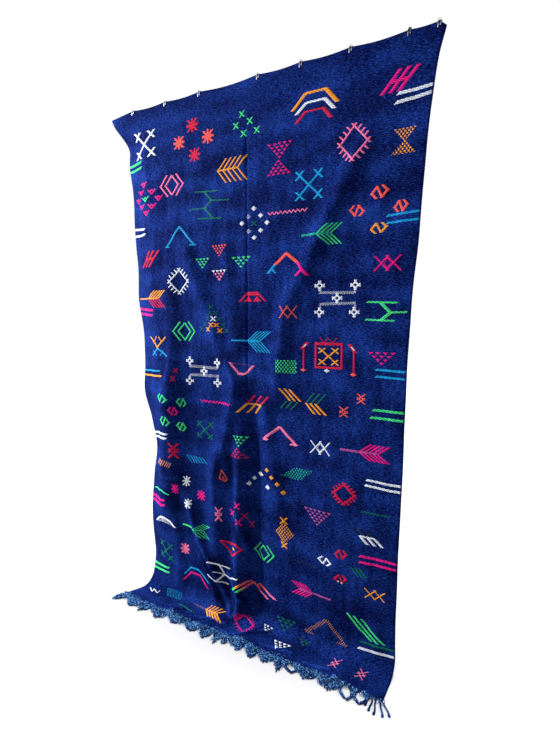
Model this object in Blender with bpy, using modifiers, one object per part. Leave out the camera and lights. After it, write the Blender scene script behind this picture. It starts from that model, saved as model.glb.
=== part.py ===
"""A handwoven rug hanging from small metal clips, with its foot lying on the floor. Metres, +Z up.

The origin is the middle of the top edge. The rug faces -Y, hangs in the plane of X and Z, and its last
stretch turns on the floor and runs forward, with a fringe beyond the hem.
"""
import math
from collections import namedtuple

import bmesh
import bpy
import numpy as np
from mathutils import Matrix, Vector

COLLECTION_NAME = "zanafi_rug_on_clips"

# The cloth
CLOTH_LENGTH = 2.42
CLOTH_THICKNESS = 0.003
FLOOR_DROP = 2.29
FLOOR_LEVEL = -FLOOR_DROP
BEND_RADIUS = 0.065
COLUMNS = 48
HANGING_ROWS = 25
BEND_ROWS = 6
FLOOR_ROWS = 3
TOP_BAND = 0.030

# Half widths of the cloth as it hangs, measured from its middle crease
Reach = namedtuple("Reach", "down left right")
REACHES = (
    Reach(0.00, 0.810, 0.810),
    Reach(0.13, 0.750, 0.782),
    Reach(0.24, 0.750, 0.768),
    Reach(0.40, 0.725, 0.752),
    Reach(0.52, 0.728, 0.744),
    Reach(0.70, 0.712, 0.732),
    Reach(0.88, 0.706, 0.716),
    Reach(1.04, 0.680, 0.708),
    Reach(1.20, 0.680, 0.702),
    Reach(1.32, 0.682, 0.699),
    Reach(1.44, 0.645, 0.697),
    Reach(1.58, 0.606, 0.694),
    Reach(1.74, 0.628, 0.689),
    Reach(1.90, 0.648, 0.685),
    Reach(2.12, 0.636, 0.682),
    Reach(2.28, 0.608, 0.686),
    Reach(2.42, 0.640, 0.706),
)

# Each fold runs straight from its top to its foot. Proud is how far it stands out, and spread its half width.
Fold = namedtuple("Fold", "name top_across top_down foot_across foot_down proud spread")
FOLDS = (
    Fold("left outer ridge", -0.44, 0.72, -0.43, 1.38, 0.016, 0.042),
    Fold("left drag from the clips", -0.38, 0.58, -0.06, 1.26, 0.018, 0.044),
    Fold("left short drag", -0.12, 0.62, -0.05, 1.18, 0.010, 0.034),
    Fold("left drag running out", -0.04, 1.20, -0.16, 1.66, 0.026, 0.042),
    Fold("left middle ridge", -0.17, 1.50, -0.18, 2.12, 0.026, 0.046),
    Fold("left lip of the crease", -0.03, 1.38, -0.05, 2.34, 0.030, 0.036),
    Fold("trough at the crease", 0.03, 1.22, 0.03, 2.33, -0.024, 0.044),
    Fold("right lip of the crease", 0.07, 1.28, 0.19, 1.90, 0.015, 0.046),
    Fold("right drag from the clips", 0.54, 0.30, 0.20, 0.92, 0.020, 0.042),
    Fold("right drag running down", 0.21, 0.84, 0.15, 1.28, 0.018, 0.038),
    Fold("left low drag", -0.38, 1.72, -0.12, 2.33, 0.030, 0.038),
    Fold("left foot ridge", -0.43, 1.90, -0.41, 2.26, 0.012, 0.034),
    Fold("hollow at the foot of the crease", 0.06, 2.00, 0.07, 2.33, -0.012, 0.060),
    Fold("left broad bulge", -0.46, 1.16, -0.47, 1.90, 0.042, 0.080),
    Fold("right broad bulge", 0.42, 1.50, 0.46, 2.20, 0.012, 0.120),
)
FOLD_RISE = 0.25
FOLD_FALL = 0.20

# The left margin turns back behind the plane of the rug, from just under the top edge
CURL_SHARE = 0.24
CURL_EASE = 0.35
CURL_DEPTH = 0.052
CURL_FULL_DOWN = 0.17

# The top edge sags between its clips, and droops past the last one at either end
CLIP_PLACES = (-0.662, -0.453, -0.251, 0.060, 0.260, 0.468, 0.686, 0.788)
SAG_PER_METRE = 0.030
LEFT_DROOP = 0.11
RIGHT_DROOP = 0.80
SAG_REACH = 0.25

# Low waves in the stretch on the floor: forward is how far the hem is pushed out there
Wave = namedtuple("Wave", "across lift forward spread")
WAVES = (
    Wave(-0.54, 0.009, 0.006, 0.050),
    Wave(-0.33, 0.006, -0.005, 0.045),
    Wave(-0.12, 0.012, 0.010, 0.050),
    Wave(0.07, 0.009, -0.006, 0.045),
    Wave(0.29, 0.006, 0.006, 0.050),
    Wave(0.52, 0.008, -0.004, 0.050),
)

# The fringe
LOCKS_PER_COLUMN = 2
STRIP_GAP = 0.0005
STRIP_DEPTH = 0.009
LOCK_LENGTH = 0.072
LOCK_LENGTH_CHANGE = 0.016
LOCK_HEIGHT = 0.005
LOCK_DRIFT = 0.012
LOCK_WIDTH_SHARES = (1.45, 1.15, 0.50)

# The clips
JAW_WIDTH = 0.015
JAW_THICKNESS = 0.0014
JAW_CLEARANCE = 0.0003
FRONT_JAW_DROP = 0.020
BACK_JAW_DROP = 0.014
BRIDGE_CLEARANCE = 0.0006
PRONG_GAP = 0.006
NOTCH_TOP = -0.004
KNOB_RADIUS = 0.0042
KNOB_RISE = 0.0036


def smooth_step(value, low, high):
    """0 below low, 1 above high, and a smooth rise between them."""
    share = np.clip((value - low) / (high - low), 0.0, 1.0)
    return share * share * (3.0 - 2.0 * share)


def bell(distance, spread):
    """1 at no distance, falling smoothly away on both sides."""
    return np.exp(-((distance / spread) ** 2))


def along_table(places, values, at):
    """The value at each place, on a smooth curve through the table's rows."""
    places, values = np.array(places), np.array(values)
    slopes = np.gradient(values, places)
    at = np.clip(at, places[0], places[-1])
    row = np.clip(np.searchsorted(places, at, side="right") - 1, 0, len(places) - 2)
    span = places[row + 1] - places[row]
    share = (at - places[row]) / span
    rise = 3.0 * share**2 - 2.0 * share**3
    leave = share * (1.0 - share) ** 2
    arrive = -(share**2) * (1.0 - share)
    steps = values[row + 1] - values[row]
    return values[row] + steps * rise + span * (slopes[row] * leave + slopes[row + 1] * arrive)


def half_widths(down):
    """How far the cloth reaches to the left and to the right of its middle crease."""
    places = [row.down for row in REACHES]
    left = along_table(places, [row.left for row in REACHES], down)
    right = along_table(places, [row.right for row in REACHES], down)
    return left, right


def fold_proud(across, down):
    """How far the folds bring the cloth out in front of a flat hang."""
    proud = np.zeros_like(across)
    for fold in FOLDS:
        share = np.clip((down - fold.top_down) / (fold.foot_down - fold.top_down), -0.3, 1.3)
        middle = fold.top_across + (fold.foot_across - fold.top_across) * share
        fade = smooth_step(share, -0.1, FOLD_RISE) * (1.0 - smooth_step(share, 1.0 - FOLD_FALL, 1.15))
        proud += fold.proud * fade * bell(across - middle, fold.spread)
    return proud * smooth_step(down, TOP_BAND, 0.3)


def margin_curl(across, down, left):
    """How far the left margin turns back."""
    share = np.clip((-across / left - 1.0 + CURL_SHARE) / CURL_SHARE, 0.0, 1.0)
    eased = np.where(share < CURL_EASE, share**2 / (2.0 * CURL_EASE), share - CURL_EASE / 2.0)
    return CURL_DEPTH * eased / (1.0 - CURL_EASE / 2.0) * smooth_step(down, TOP_BAND, CURL_FULL_DOWN)


def edge_sag(across):
    """How far the top edge hangs below its clips."""
    sag = LEFT_DROOP * np.maximum(CLIP_PLACES[0] - across, 0.0)
    sag += RIGHT_DROOP * np.maximum(across - CLIP_PLACES[-1], 0.0)
    for start, end in zip(CLIP_PLACES, CLIP_PLACES[1:]):
        share = np.clip((across - start) / (end - start), 0.0, 1.0)
        sag += SAG_PER_METRE * (end - start) * np.sin(math.pi * share)
    return sag


def floor_waves(across):
    """The lift and the forward push of the stretch that lies on the floor."""
    lift = np.zeros_like(across)
    forward = np.zeros_like(across)
    for wave in WAVES:
        shape = bell(across - wave.across, wave.spread)
        lift += wave.lift * shape
        forward += wave.forward * shape
    return lift, forward


def cloth_point(side, down):
    """The cloth's middle surface: side runs from -1 at the left selvedge to 1 at the right one."""
    side, down = np.broadcast_arrays(np.asarray(side, float), np.asarray(down, float))
    left, right = half_widths(down)
    across = side * np.where(side < 0.0, left, right)
    straight = FLOOR_DROP - BEND_RADIUS - CLOTH_THICKNESS / 2
    turn = np.clip((down - straight) / BEND_RADIUS, 0.0, math.pi / 2)
    run = np.maximum(down - straight - BEND_RADIUS * math.pi / 2, 0.0)
    on_floor = smooth_step(down, straight, CLOTH_LENGTH - 0.03)
    lift, forward = floor_waves(across)
    folds = fold_proud(across, down)
    curl = margin_curl(across, down, left) * (1.0 - smooth_step(down, straight - 0.10, straight + 0.08))
    sag = edge_sag(across) * (1.0 - smooth_step(down, 0.0, SAG_REACH))
    y = -BEND_RADIUS * (1.0 - np.cos(turn)) - run - np.cos(turn) * folds + curl - forward * on_floor
    z = -np.minimum(down, straight) - BEND_RADIUS * np.sin(turn) - sag
    z = z + np.sin(turn) * 0.4 * np.maximum(folds, 0.0) + lift * on_floor
    return np.stack([across, y, z], axis=-1)


def row_places():
    """How far down the cloth each row of the mesh lies, closer together where it bends."""
    straight = FLOOR_DROP - BEND_RADIUS
    bend_end = straight + BEND_RADIUS * math.pi / 2
    hanging = np.linspace(TOP_BAND, straight, HANGING_ROWS + 1)
    bend = np.linspace(straight, bend_end, BEND_ROWS + 1)[1:]
    floor = np.linspace(bend_end, CLOTH_LENGTH, FLOOR_ROWS + 1)[1:]
    return np.concatenate([[0.0], hanging, bend, floor])


def new_material(name, colour, roughness, metallic=0.0):
    """A material with one plain surface colour."""
    material = bpy.data.materials.new(name)
    material.use_nodes = True
    shader = material.node_tree.nodes["Principled BSDF"]
    shader.inputs["Base Color"].default_value = (*colour, 1.0)
    shader.inputs["Roughness"].default_value = roughness
    shader.inputs["Metallic"].default_value = metallic
    return material


def add_object(name, mesh, collection, material):
    """An object in the collection, with one material."""
    piece = bpy.data.objects.new(name, mesh)
    collection.objects.link(piece)
    mesh.materials.clear()
    mesh.materials.append(material)
    return piece


def make_cloth(collection, material):
    """The woven sheet, hung in its folds, as one solid."""
    rows = row_places()
    sheet = bmesh.new()
    bmesh.ops.create_grid(sheet, x_segments=COLUMNS, y_segments=len(rows) - 1, size=1.0)
    sides = np.array([vertex.co.x for vertex in sheet.verts])
    steps = np.array([round((1.0 - vertex.co.y) / 2.0 * (len(rows) - 1)) for vertex in sheet.verts])
    places = cloth_point(sides, rows[steps])
    for vertex, place in zip(sheet.verts, places):
        vertex.co = place
    mesh = bpy.data.meshes.new("rug_cloth")
    sheet.to_mesh(mesh)
    sheet.free()
    mesh.shade_smooth()
    cloth = add_object("rug_cloth", mesh, collection, material)
    thickness = cloth.modifiers.new("Thickness", "SOLIDIFY")
    thickness.thickness = CLOTH_THICKNESS
    thickness.offset = 0.0
    return cloth


def lock_rings(number, root):
    """The middle, half width and height of each step of one lock, from its root to its tip."""
    swing = math.sin(0.45 * number) + 0.5 * math.sin(0.19 * number + 1.0)
    length = LOCK_LENGTH + LOCK_LENGTH_CHANGE * math.sin(2.1 * number + 0.5 * math.sin(0.7 * number))
    middle_x = (root[0].x + root[1].x) / 2
    front_y = (root[0].y + root[1].y) / 2
    half_width = abs(root[1].x - root[0].x) / 2
    rings = []
    for step, width_share in enumerate(LOCK_WIDTH_SHARES, start=1):
        share = step / len(LOCK_WIDTH_SHARES)
        drift = LOCK_DRIFT * swing * (length * share / LOCK_LENGTH) ** 1.5
        height = LOCK_HEIGHT * (1.0 - 0.35 * share)
        place = Vector((middle_x + drift, front_y - length * share, FLOOR_LEVEL))
        rings.append((place, half_width * width_share, height))
    return rings


def grow_lock(fringe, face, number):
    """Draws one face of the strip out into a lock that comes down to lie on the floor."""
    root = sorted((vertex.co.copy() for vertex in face.verts), key=lambda co: (co.z, co.x))[:2]
    for place, half_width, height in lock_rings(number, sorted(root, key=lambda co: co.x)):
        face = bmesh.ops.extrude_discrete_faces(fringe, faces=[face])["faces"][0]
        lower = sorted(face.verts, key=lambda vertex: vertex.co.z)
        for level, pair in ((0.0, lower[:2]), (height, lower[2:])):
            pair.sort(key=lambda vertex: vertex.co.x)
            for sign, vertex in zip((-1.0, 1.0), pair):
                vertex.co = place + Vector((sign * half_width, 0.0, level))


def make_fringe(collection, material):
    """A narrow strip just beyond the hem, with the locks that grow from it."""
    sides = np.linspace(-1.0, 1.0, COLUMNS + 1)
    hem = cloth_point(sides, CLOTH_LENGTH)
    cells = COLUMNS * LOCKS_PER_COLUMN * 2
    steps = np.linspace(0.0, COLUMNS, cells + 1)
    line = np.stack([np.interp(steps, np.arange(COLUMNS + 1), hem[:, axis]) for axis in range(3)], axis=-1)
    fringe = bmesh.new()
    bmesh.ops.create_grid(fringe, x_segments=cells, y_segments=1, size=1.0)
    for vertex in fringe.verts:
        place = line[round((vertex.co.x + 1.0) / 2.0 * cells)]
        out = STRIP_GAP if vertex.co.y > 0.0 else STRIP_GAP + STRIP_DEPTH
        vertex.co = Vector((place[0], place[1] - out, place[2] + CLOTH_THICKNESS / 2))
    top_faces = list(fringe.faces)
    lower = bmesh.ops.extrude_face_region(fringe, geom=top_faces, use_keep_orig=True)
    lower_verts = [item for item in lower["geom"] if isinstance(item, bmesh.types.BMVert)]
    for vertex in lower_verts:
        vertex.co.z -= CLOTH_THICKNESS
    bmesh.ops.recalc_face_normals(fringe, faces=fringe.faces[:])
    fringe.normal_update()
    front = [face for face in fringe.faces if face.normal.y < -0.8]
    front.sort(key=lambda face: face.calc_center_median().x)
    for number, face in enumerate(front[::2]):
        grow_lock(fringe, face, number)
    mesh = bpy.data.meshes.new("hem_fringe")
    fringe.to_mesh(mesh)
    fringe.free()
    return add_object("hem_fringe", mesh, collection, material)


def clip_outline():
    """The clip's side view: an upside-down U whose jaws hang either side of the cloth."""
    inner = CLOTH_THICKNESS / 2 + JAW_CLEARANCE
    outer = inner + JAW_THICKNESS
    roof = BRIDGE_CLEARANCE + JAW_THICKNESS
    return (
        (-outer, -FRONT_JAW_DROP),
        (-inner, -FRONT_JAW_DROP),
        (-inner, BRIDGE_CLEARANCE),
        (inner, BRIDGE_CLEARANCE),
        (inner, -BACK_JAW_DROP),
        (outer, -BACK_JAW_DROP),
        (outer, roof),
        (-outer, roof),
    )


def make_jaws(collection):
    """The bent strip of the clip, as a mesh object."""
    curve = bpy.data.curves.new("clip_jaws", "CURVE")
    curve.dimensions = "2D"
    curve.fill_mode = "BOTH"
    curve.extrude = JAW_WIDTH / 2
    outline = clip_outline()
    spline = curve.splines.new("POLY")
    spline.points.add(len(outline) - 1)
    for point, (forward, up) in zip(spline.points, outline):
        point.co = (forward, up, 0.0, 1.0)
    spline.use_cyclic_u = True
    drawn = bpy.data.objects.new("clip_jaws", curve)
    collection.objects.link(drawn)
    drawn.rotation_euler = (math.pi / 2, 0.0, math.pi / 2)
    bpy.context.view_layer.update()
    graph = bpy.context.evaluated_depsgraph_get()
    mesh = bpy.data.meshes.new_from_object(drawn.evaluated_get(graph))
    mesh.transform(drawn.matrix_world)
    bpy.data.objects.remove(drawn)
    shape = bmesh.new()
    shape.from_mesh(mesh)
    bmesh.ops.remove_doubles(shape, verts=shape.verts[:], dist=0.00001)
    bmesh.ops.recalc_face_normals(shape, faces=shape.faces[:])
    shape.to_mesh(mesh)
    shape.free()
    return mesh


def add_cutter(name, mesh, collection):
    """A helper object that shapes another and isn't part of the object."""
    cutter = bpy.data.objects.new(name, mesh)
    collection.objects.link(cutter)
    cutter.hide_render = True
    cutter.display_type = "WIRE"
    return cutter


def make_clip_mesh(cutters):
    """One clip about the point where it grips the cloth's top edge."""
    jaws = add_cutter("clip_shape", make_jaws(cutters), cutters)
    inner = CLOTH_THICKNESS / 2 + JAW_CLEARANCE
    notch_mesh = bpy.data.meshes.new("clip_notch")
    notch = bmesh.new()
    bmesh.ops.create_cube(notch, size=1.0)
    notch_height = FRONT_JAW_DROP + NOTCH_TOP
    bmesh.ops.scale(notch, vec=(PRONG_GAP, 4 * JAW_THICKNESS, 2 * notch_height), verts=notch.verts)
    bmesh.ops.translate(notch, vec=(0.0, -inner - 1.5 * JAW_THICKNESS, -FRONT_JAW_DROP), verts=notch.verts)
    notch.to_mesh(notch_mesh)
    notch.free()
    knob_mesh = bpy.data.meshes.new("clip_knob")
    knob = bmesh.new()
    bmesh.ops.create_uvsphere(knob, u_segments=10, v_segments=7, radius=KNOB_RADIUS)
    bmesh.ops.translate(knob, vec=(0.0, 0.0, BRIDGE_CLEARANCE + JAW_THICKNESS + KNOB_RISE), verts=knob.verts)
    knob.to_mesh(knob_mesh)
    knob.free()
    for name, mesh, operation in (("Notch", notch_mesh, "DIFFERENCE"), ("Knob", knob_mesh, "UNION")):
        cut = jaws.modifiers.new(name, "BOOLEAN")
        cut.operation = operation
        cut.object = add_cutter(mesh.name, mesh, cutters)
    bpy.context.view_layer.update()
    graph = bpy.context.evaluated_depsgraph_get()
    mesh = bpy.data.meshes.new_from_object(jaws.evaluated_get(graph))
    bpy.data.objects.remove(jaws)
    return mesh


def make_clips(collection, cutters, material):
    """The row of clips along the top edge."""
    master = make_clip_mesh(cutters)
    for number, across in enumerate(CLIP_PLACES, start=1):
        mesh = master.copy()
        mesh.transform(Matrix.Translation((across, 0.0, 0.0)))
        add_object(f"clip_{number}", mesh, collection, material)


def clear_scene():
    """Removes whatever objects the scene starts with."""
    for item in list(bpy.data.objects):
        bpy.data.objects.remove(item)


def main():
    """Builds the rug, its fringe and its clips."""
    clear_scene()
    collection = bpy.data.collections.new(COLLECTION_NAME)
    cutters = bpy.data.collections.new("cutters")
    bpy.context.scene.collection.children.link(collection)
    bpy.context.scene.collection.children.link(cutters)
    make_cloth(collection, new_material("woven_blue", (0.010, 0.022, 0.130), 0.75))
    make_fringe(collection, new_material("fringe_blue", (0.020, 0.070, 0.280), 0.80))
    make_clips(collection, cutters, new_material("clip_steel", (0.62, 0.63, 0.65), 0.30, 1.0))


main()
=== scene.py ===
"""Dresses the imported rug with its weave, its woven ornament, its fringe and its clips. Metres, +Z up.

Places on the ornament's chart are centimetres: across from the middle crease, and down from the top edge.
"""
import math
from collections import namedtuple

import bmesh
import bpy
import numpy as np
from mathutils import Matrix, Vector

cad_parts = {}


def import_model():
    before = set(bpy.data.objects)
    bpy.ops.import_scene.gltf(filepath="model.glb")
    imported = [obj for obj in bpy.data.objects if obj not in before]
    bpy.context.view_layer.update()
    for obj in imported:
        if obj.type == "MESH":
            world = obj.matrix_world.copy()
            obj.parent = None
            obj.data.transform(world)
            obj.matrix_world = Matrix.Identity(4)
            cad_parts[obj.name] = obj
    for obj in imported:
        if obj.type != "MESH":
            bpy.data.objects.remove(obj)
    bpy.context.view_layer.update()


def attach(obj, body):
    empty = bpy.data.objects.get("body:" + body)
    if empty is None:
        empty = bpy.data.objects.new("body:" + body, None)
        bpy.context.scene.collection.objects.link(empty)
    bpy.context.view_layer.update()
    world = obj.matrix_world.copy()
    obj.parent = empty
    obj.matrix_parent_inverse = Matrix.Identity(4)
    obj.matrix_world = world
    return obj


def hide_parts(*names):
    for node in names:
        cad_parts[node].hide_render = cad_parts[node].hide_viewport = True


BODY = "root"
ACROSS, OUT, UP = (1.0, 0.0, 0.0), (0.0, 1.0, 0.0), (0.0, 0.0, 1.0)

# The cloth as part.py hangs it
CLOTH_LENGTH = 2.42
CLOTH_THICKNESS = 0.003
FLAT_WIDTH = 1.50
FLOOR_DROP = 2.29
FLOOR_LEVEL = -FLOOR_DROP
BEND_RADIUS = 0.065
TOP_BAND = 0.030

# Half widths of the cloth as it hangs, measured from its middle crease
Reach = namedtuple("Reach", "down left right")
REACHES = (
    Reach(0.00, 0.810, 0.810),
    Reach(0.13, 0.750, 0.782),
    Reach(0.24, 0.750, 0.768),
    Reach(0.40, 0.725, 0.752),
    Reach(0.52, 0.728, 0.744),
    Reach(0.70, 0.712, 0.732),
    Reach(0.88, 0.706, 0.716),
    Reach(1.04, 0.680, 0.708),
    Reach(1.20, 0.680, 0.702),
    Reach(1.32, 0.682, 0.699),
    Reach(1.44, 0.645, 0.697),
    Reach(1.58, 0.606, 0.694),
    Reach(1.74, 0.628, 0.689),
    Reach(1.90, 0.648, 0.685),
    Reach(2.12, 0.636, 0.682),
    Reach(2.28, 0.608, 0.686),
    Reach(2.42, 0.640, 0.706),
)

# Each fold runs straight from its top to its foot.
# Proud is how far it stands out, and spread its half width.
Fold = namedtuple("Fold", "name top_across top_down foot_across foot_down proud spread")
FOLDS = (
    Fold("left outer ridge", -0.44, 0.72, -0.43, 1.38, 0.016, 0.042),
    Fold("left drag from the clips", -0.38, 0.58, -0.06, 1.26, 0.018, 0.044),
    Fold("left short drag", -0.12, 0.62, -0.05, 1.18, 0.010, 0.034),
    Fold("left drag running out", -0.04, 1.20, -0.16, 1.66, 0.026, 0.042),
    Fold("left middle ridge", -0.17, 1.50, -0.18, 2.12, 0.026, 0.046),
    Fold("left lip of the crease", -0.03, 1.38, -0.05, 2.34, 0.030, 0.036),
    Fold("trough at the crease", 0.03, 1.22, 0.03, 2.33, -0.024, 0.044),
    Fold("right lip of the crease", 0.07, 1.28, 0.19, 1.90, 0.015, 0.046),
    Fold("right drag from the clips", 0.54, 0.30, 0.20, 0.92, 0.020, 0.042),
    Fold("right drag running down", 0.21, 0.84, 0.15, 1.28, 0.018, 0.038),
    Fold("left low drag", -0.38, 1.72, -0.12, 2.33, 0.030, 0.038),
    Fold("left foot ridge", -0.43, 1.90, -0.41, 2.26, 0.012, 0.034),
    Fold("hollow at the foot of the crease", 0.06, 2.00, 0.07, 2.33, -0.012, 0.060),
    Fold("left broad bulge", -0.46, 1.16, -0.47, 1.90, 0.042, 0.080),
    Fold("right broad bulge", 0.42, 1.50, 0.46, 2.20, 0.012, 0.120),
)

# Shares of a fold's length: it fades in from FOLD_FROM to FOLD_RISE, and out over the last FOLD_FALL
# to FOLD_TO
FOLD_FROM = -0.10
FOLD_RISE = 0.25
FOLD_FALL = 0.20
FOLD_TO = 1.15
FOLDS_FULL_DOWN = 0.30
FOLD_LIFT = 0.40

# The left margin turns back behind the plane of the rug, from just under the top edge
CURL_SHARE = 0.24
CURL_EASE = 0.35
CURL_DEPTH = 0.052
CURL_FULL_DOWN = 0.17
CURL_FADE_ABOVE = 0.10
CURL_FADE_BELOW = 0.08

# The top edge sags between its clips, and droops past the last one at either end
CLIP_PLACES = (-0.662, -0.453, -0.251, 0.060, 0.260, 0.468, 0.686, 0.788)
SAG_PER_METRE = 0.030
LEFT_DROOP = 0.11
RIGHT_DROOP = 0.80
SAG_REACH = 0.25

# Low waves in the stretch on the floor: forward is how far the hem is pushed out there
Wave = namedtuple("Wave", "across lift forward spread")
WAVES = (
    Wave(-0.54, 0.009, 0.006, 0.050),
    Wave(-0.33, 0.006, -0.005, 0.045),
    Wave(-0.12, 0.012, 0.010, 0.050),
    Wave(0.07, 0.009, -0.006, 0.045),
    Wave(0.29, 0.006, 0.006, 0.050),
    Wave(0.52, 0.008, -0.004, 0.050),
)
WAVES_FULL_BEFORE = 0.03

# The visible cloth's own mesh, finest at its foot, with extra columns at the storage crease
CLOTH_COLUMNS = 196
HANG_ROWS = 148
FOOT_ROWS = 42
FOOT_FROM = 2.20
CREASE_COLUMNS = (-0.011, -0.006, -0.003, 0.0, 0.003, 0.006, 0.011)
CREASE_DEPTH = 0.0042
CREASE_SPREAD = 0.0060
CREASE_TOP = 0.12
CREASE_FULL_DOWN = 0.30

# Shallow ripples over the hang: across and down are their waves per metre
Ripple = namedtuple("Ripple", "across down phase height")
RIPPLES = (
    Ripple(9.0, 1.7, 0.4, 0.0010),
    Ripple(14.0, -2.6, 2.1, 0.0007),
    Ripple(5.0, 4.1, 1.2, 0.0010),
    Ripple(23.0, 3.4, 4.0, 0.0004),
)
RIPPLES_FULL_DOWN = 0.40

# Narrow wrinkles, by their two ends: height is how far each stands out, and spread its half width.
# A painted highlight lies on their crests and a painted shade beside them.
Wrinkle = namedtuple("Wrinkle", "start end height spread")
WRINKLES = (
    Wrinkle((-0.325, 1.850), (-0.275, 1.965), 0.0065, 0.014),
    Wrinkle((-0.275, 1.965), (-0.200, 2.075), 0.0075, 0.013),
    Wrinkle((-0.200, 2.075), (-0.140, 2.190), 0.0080, 0.013),
    Wrinkle((-0.140, 2.190), (-0.070, 2.310), 0.0080, 0.015),
    Wrinkle((-0.050, 1.825), (-0.010, 1.970), 0.0070, 0.014),
    Wrinkle((-0.110, 2.100), (-0.040, 2.200), 0.0080, 0.014),
    Wrinkle((-0.040, 2.200), (-0.055, 2.310), 0.0080, 0.014),
    Wrinkle((-0.230, 2.392), (-0.150, 2.366), 0.0085, 0.008),
    Wrinkle((-0.150, 2.366), (-0.050, 2.362), 0.0095, 0.008),
    Wrinkle((-0.070, 2.400), (0.030, 2.408), 0.0080, 0.008),
    Wrinkle((0.030, 2.408), (0.080, 2.345), 0.0100, 0.009),
    Wrinkle((0.080, 2.345), (0.120, 2.290), 0.0060, 0.010),
    Wrinkle((-0.420, 2.385), (-0.300, 2.372), 0.0070, 0.008),
    Wrinkle((0.160, 2.385), (0.300, 2.372), 0.0060, 0.010),
    Wrinkle((0.360, 2.395), (0.470, 2.380), 0.0060, 0.010),
    Wrinkle((-0.600, 1.715), (-0.385, 1.710), 0.0035, 0.013),
    Wrinkle((-0.560, 1.790), (-0.430, 1.830), 0.0030, 0.013),
    Wrinkle((-0.125, 1.520), (-0.115, 1.650), 0.0040, 0.014),
    Wrinkle((-0.105, 1.155), (-0.060, 1.260), 0.0035, 0.015),
    Wrinkle((0.065, 1.310), (0.095, 1.350), 0.0030, 0.014),
    Wrinkle((-0.445, 1.170), (-0.450, 1.250), 0.0035, 0.014),
    Wrinkle((0.200, 1.695), (0.260, 1.735), 0.0030, 0.014),
)

# How much stronger the painted highlight on the crest of the tallest wrinkle is than the painted shade beside
# it, and how wide the highlighted crest and its shaded surround are, for each unit of the wrinkle's spread
TALLEST_WRINKLE = 0.010
CREST_PAINTED_HIGHLIGHT = 2.4
CREST_WIDTH = 0.75
VALLEY_WIDTH = 1.9

# The ornament is woven in as floats of thread, one above another
ROW_PITCH = 0.0021
FLOAT_LENGTH = 0.017
SHORTEST_FLOAT = 0.0020
FLOAT_PROUD = 0.0010
FLOAT_SINK = 0.0008
FLOAT_TAPER = 0.0012
FLOAT_RING = ((-1.0, -0.1), (-0.52, 0.95), (0.52, 0.95), (1.0, -0.1))
FLOAT_RINGS = 3
LONGEST_TAPER = 0.3
SHOULDER = 0.86

# Each float stands a little higher or lower than the next
UNEVEN_HEIGHT = 0.14
UNEVEN_ACROSS = 3700.0
UNEVEN_DOWN = 1100.0

# A stroke that leans less than this is woven along its own line, with its ends cut on the slant
LEVEL_LEAN = 0.35
END_SLANT = 1.2

# A stroke runs past each of its points by this part of its width
STROKE_OVERRUN = 0.25

# The sides of a lashed outline run past its corners, and a lash is this part of the way out to its side
OVERRUN = 0.14
LASH_SHARE = 0.50

# On the back, every second float shows where it is tied
TIE_LENGTH = 0.0034
LONGEST_TIE = 0.9
TIE_PROUD = 0.0004
TIE_RINGS = 2

# The chart's units in a metre, how far inside the selvedges the ornament stops, and the gap that joins
# two runs
PER_METRE = 100.0
SELVEDGE_MARGIN = 0.002
JOINED_GAP = 0.0005

# How a shape is filled: dashes of thread with gaps between them, in bands with bare rows below each.
# Shift moves each band along by that much against the one above it.
Fill = namedtuple("Fill", "dash gap rows bare shift")
FILLS = {
    "solid": None,
    "checked": Fill(0.0085, 0.0056, 3, 1, 0.0070),
    "dotted": Fill(0.0050, 0.0052, 2, 1, 0.0051),
    "hatched": Fill(0.0036, 0.0036, 1, 0, 0.0026),
}

COLOURS = {
    "white": (0.39, 0.41, 0.46),
    "light_green": (0.028, 0.350, 0.105),
    "dark_green": (0.001, 0.066, 0.046),
    "teal": (0.007, 0.170, 0.130),
    "cyan": (0.003, 0.160, 0.335),
    "magenta": (0.40, 0.004, 0.115),
    "pink": (0.47, 0.100, 0.200),
    "crimson": (0.310, 0.005, 0.025),
    "coral": (0.480, 0.058, 0.043),
    "yellow": (0.460, 0.178, 0.011),
    "mauve": (0.200, 0.040, 0.155),
    "tan": (0.340, 0.128, 0.030),
    "black": (0.004, 0.005, 0.012),
}

# Dark, middle and light shades: each one's place on its ramp, and its colour
CLOTH_SHADES = (
    (0.42, (0.0003, 0.0006, 0.0075)),
    (0.50, (0.0012, 0.0036, 0.035)),
    (0.59, (0.0055, 0.0230, 0.145)),
)
# The fringe's cords are coloured deeper, as painted shade under the tangle
PAINTED_SHADE_YARN = (
    (0.42, (0.001, 0.004, 0.028)),
    (0.50, (0.003, 0.015, 0.070)),
    (0.61, (0.009, 0.042, 0.150)),
)
# The tangle over them is coloured paler, as painted highlight
PAINTED_HIGHLIGHT_YARN = (
    (0.42, (0.002, 0.011, 0.055)),
    (0.50, (0.010, 0.055, 0.185)),
    (0.61, (0.140, 0.340, 0.600)),
)
STEEL_SHADES = ((0.3, (0.050, 0.055, 0.065)), (0.7, (0.190, 0.195, 0.210)))
KNOB_SHADES = ((0.45, (0.012, 0.012, 0.018)), (0.75, (0.110, 0.110, 0.120)))

# A thread's shades: the places of its dark, its own and its light shade, and how they follow from its colour
THREAD_PLACES = (0.36, 0.50, 0.64)
THREAD_DARK = 0.62
THREAD_LIGHT = 1.18
THREAD_LIFT = 0.001

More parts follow.
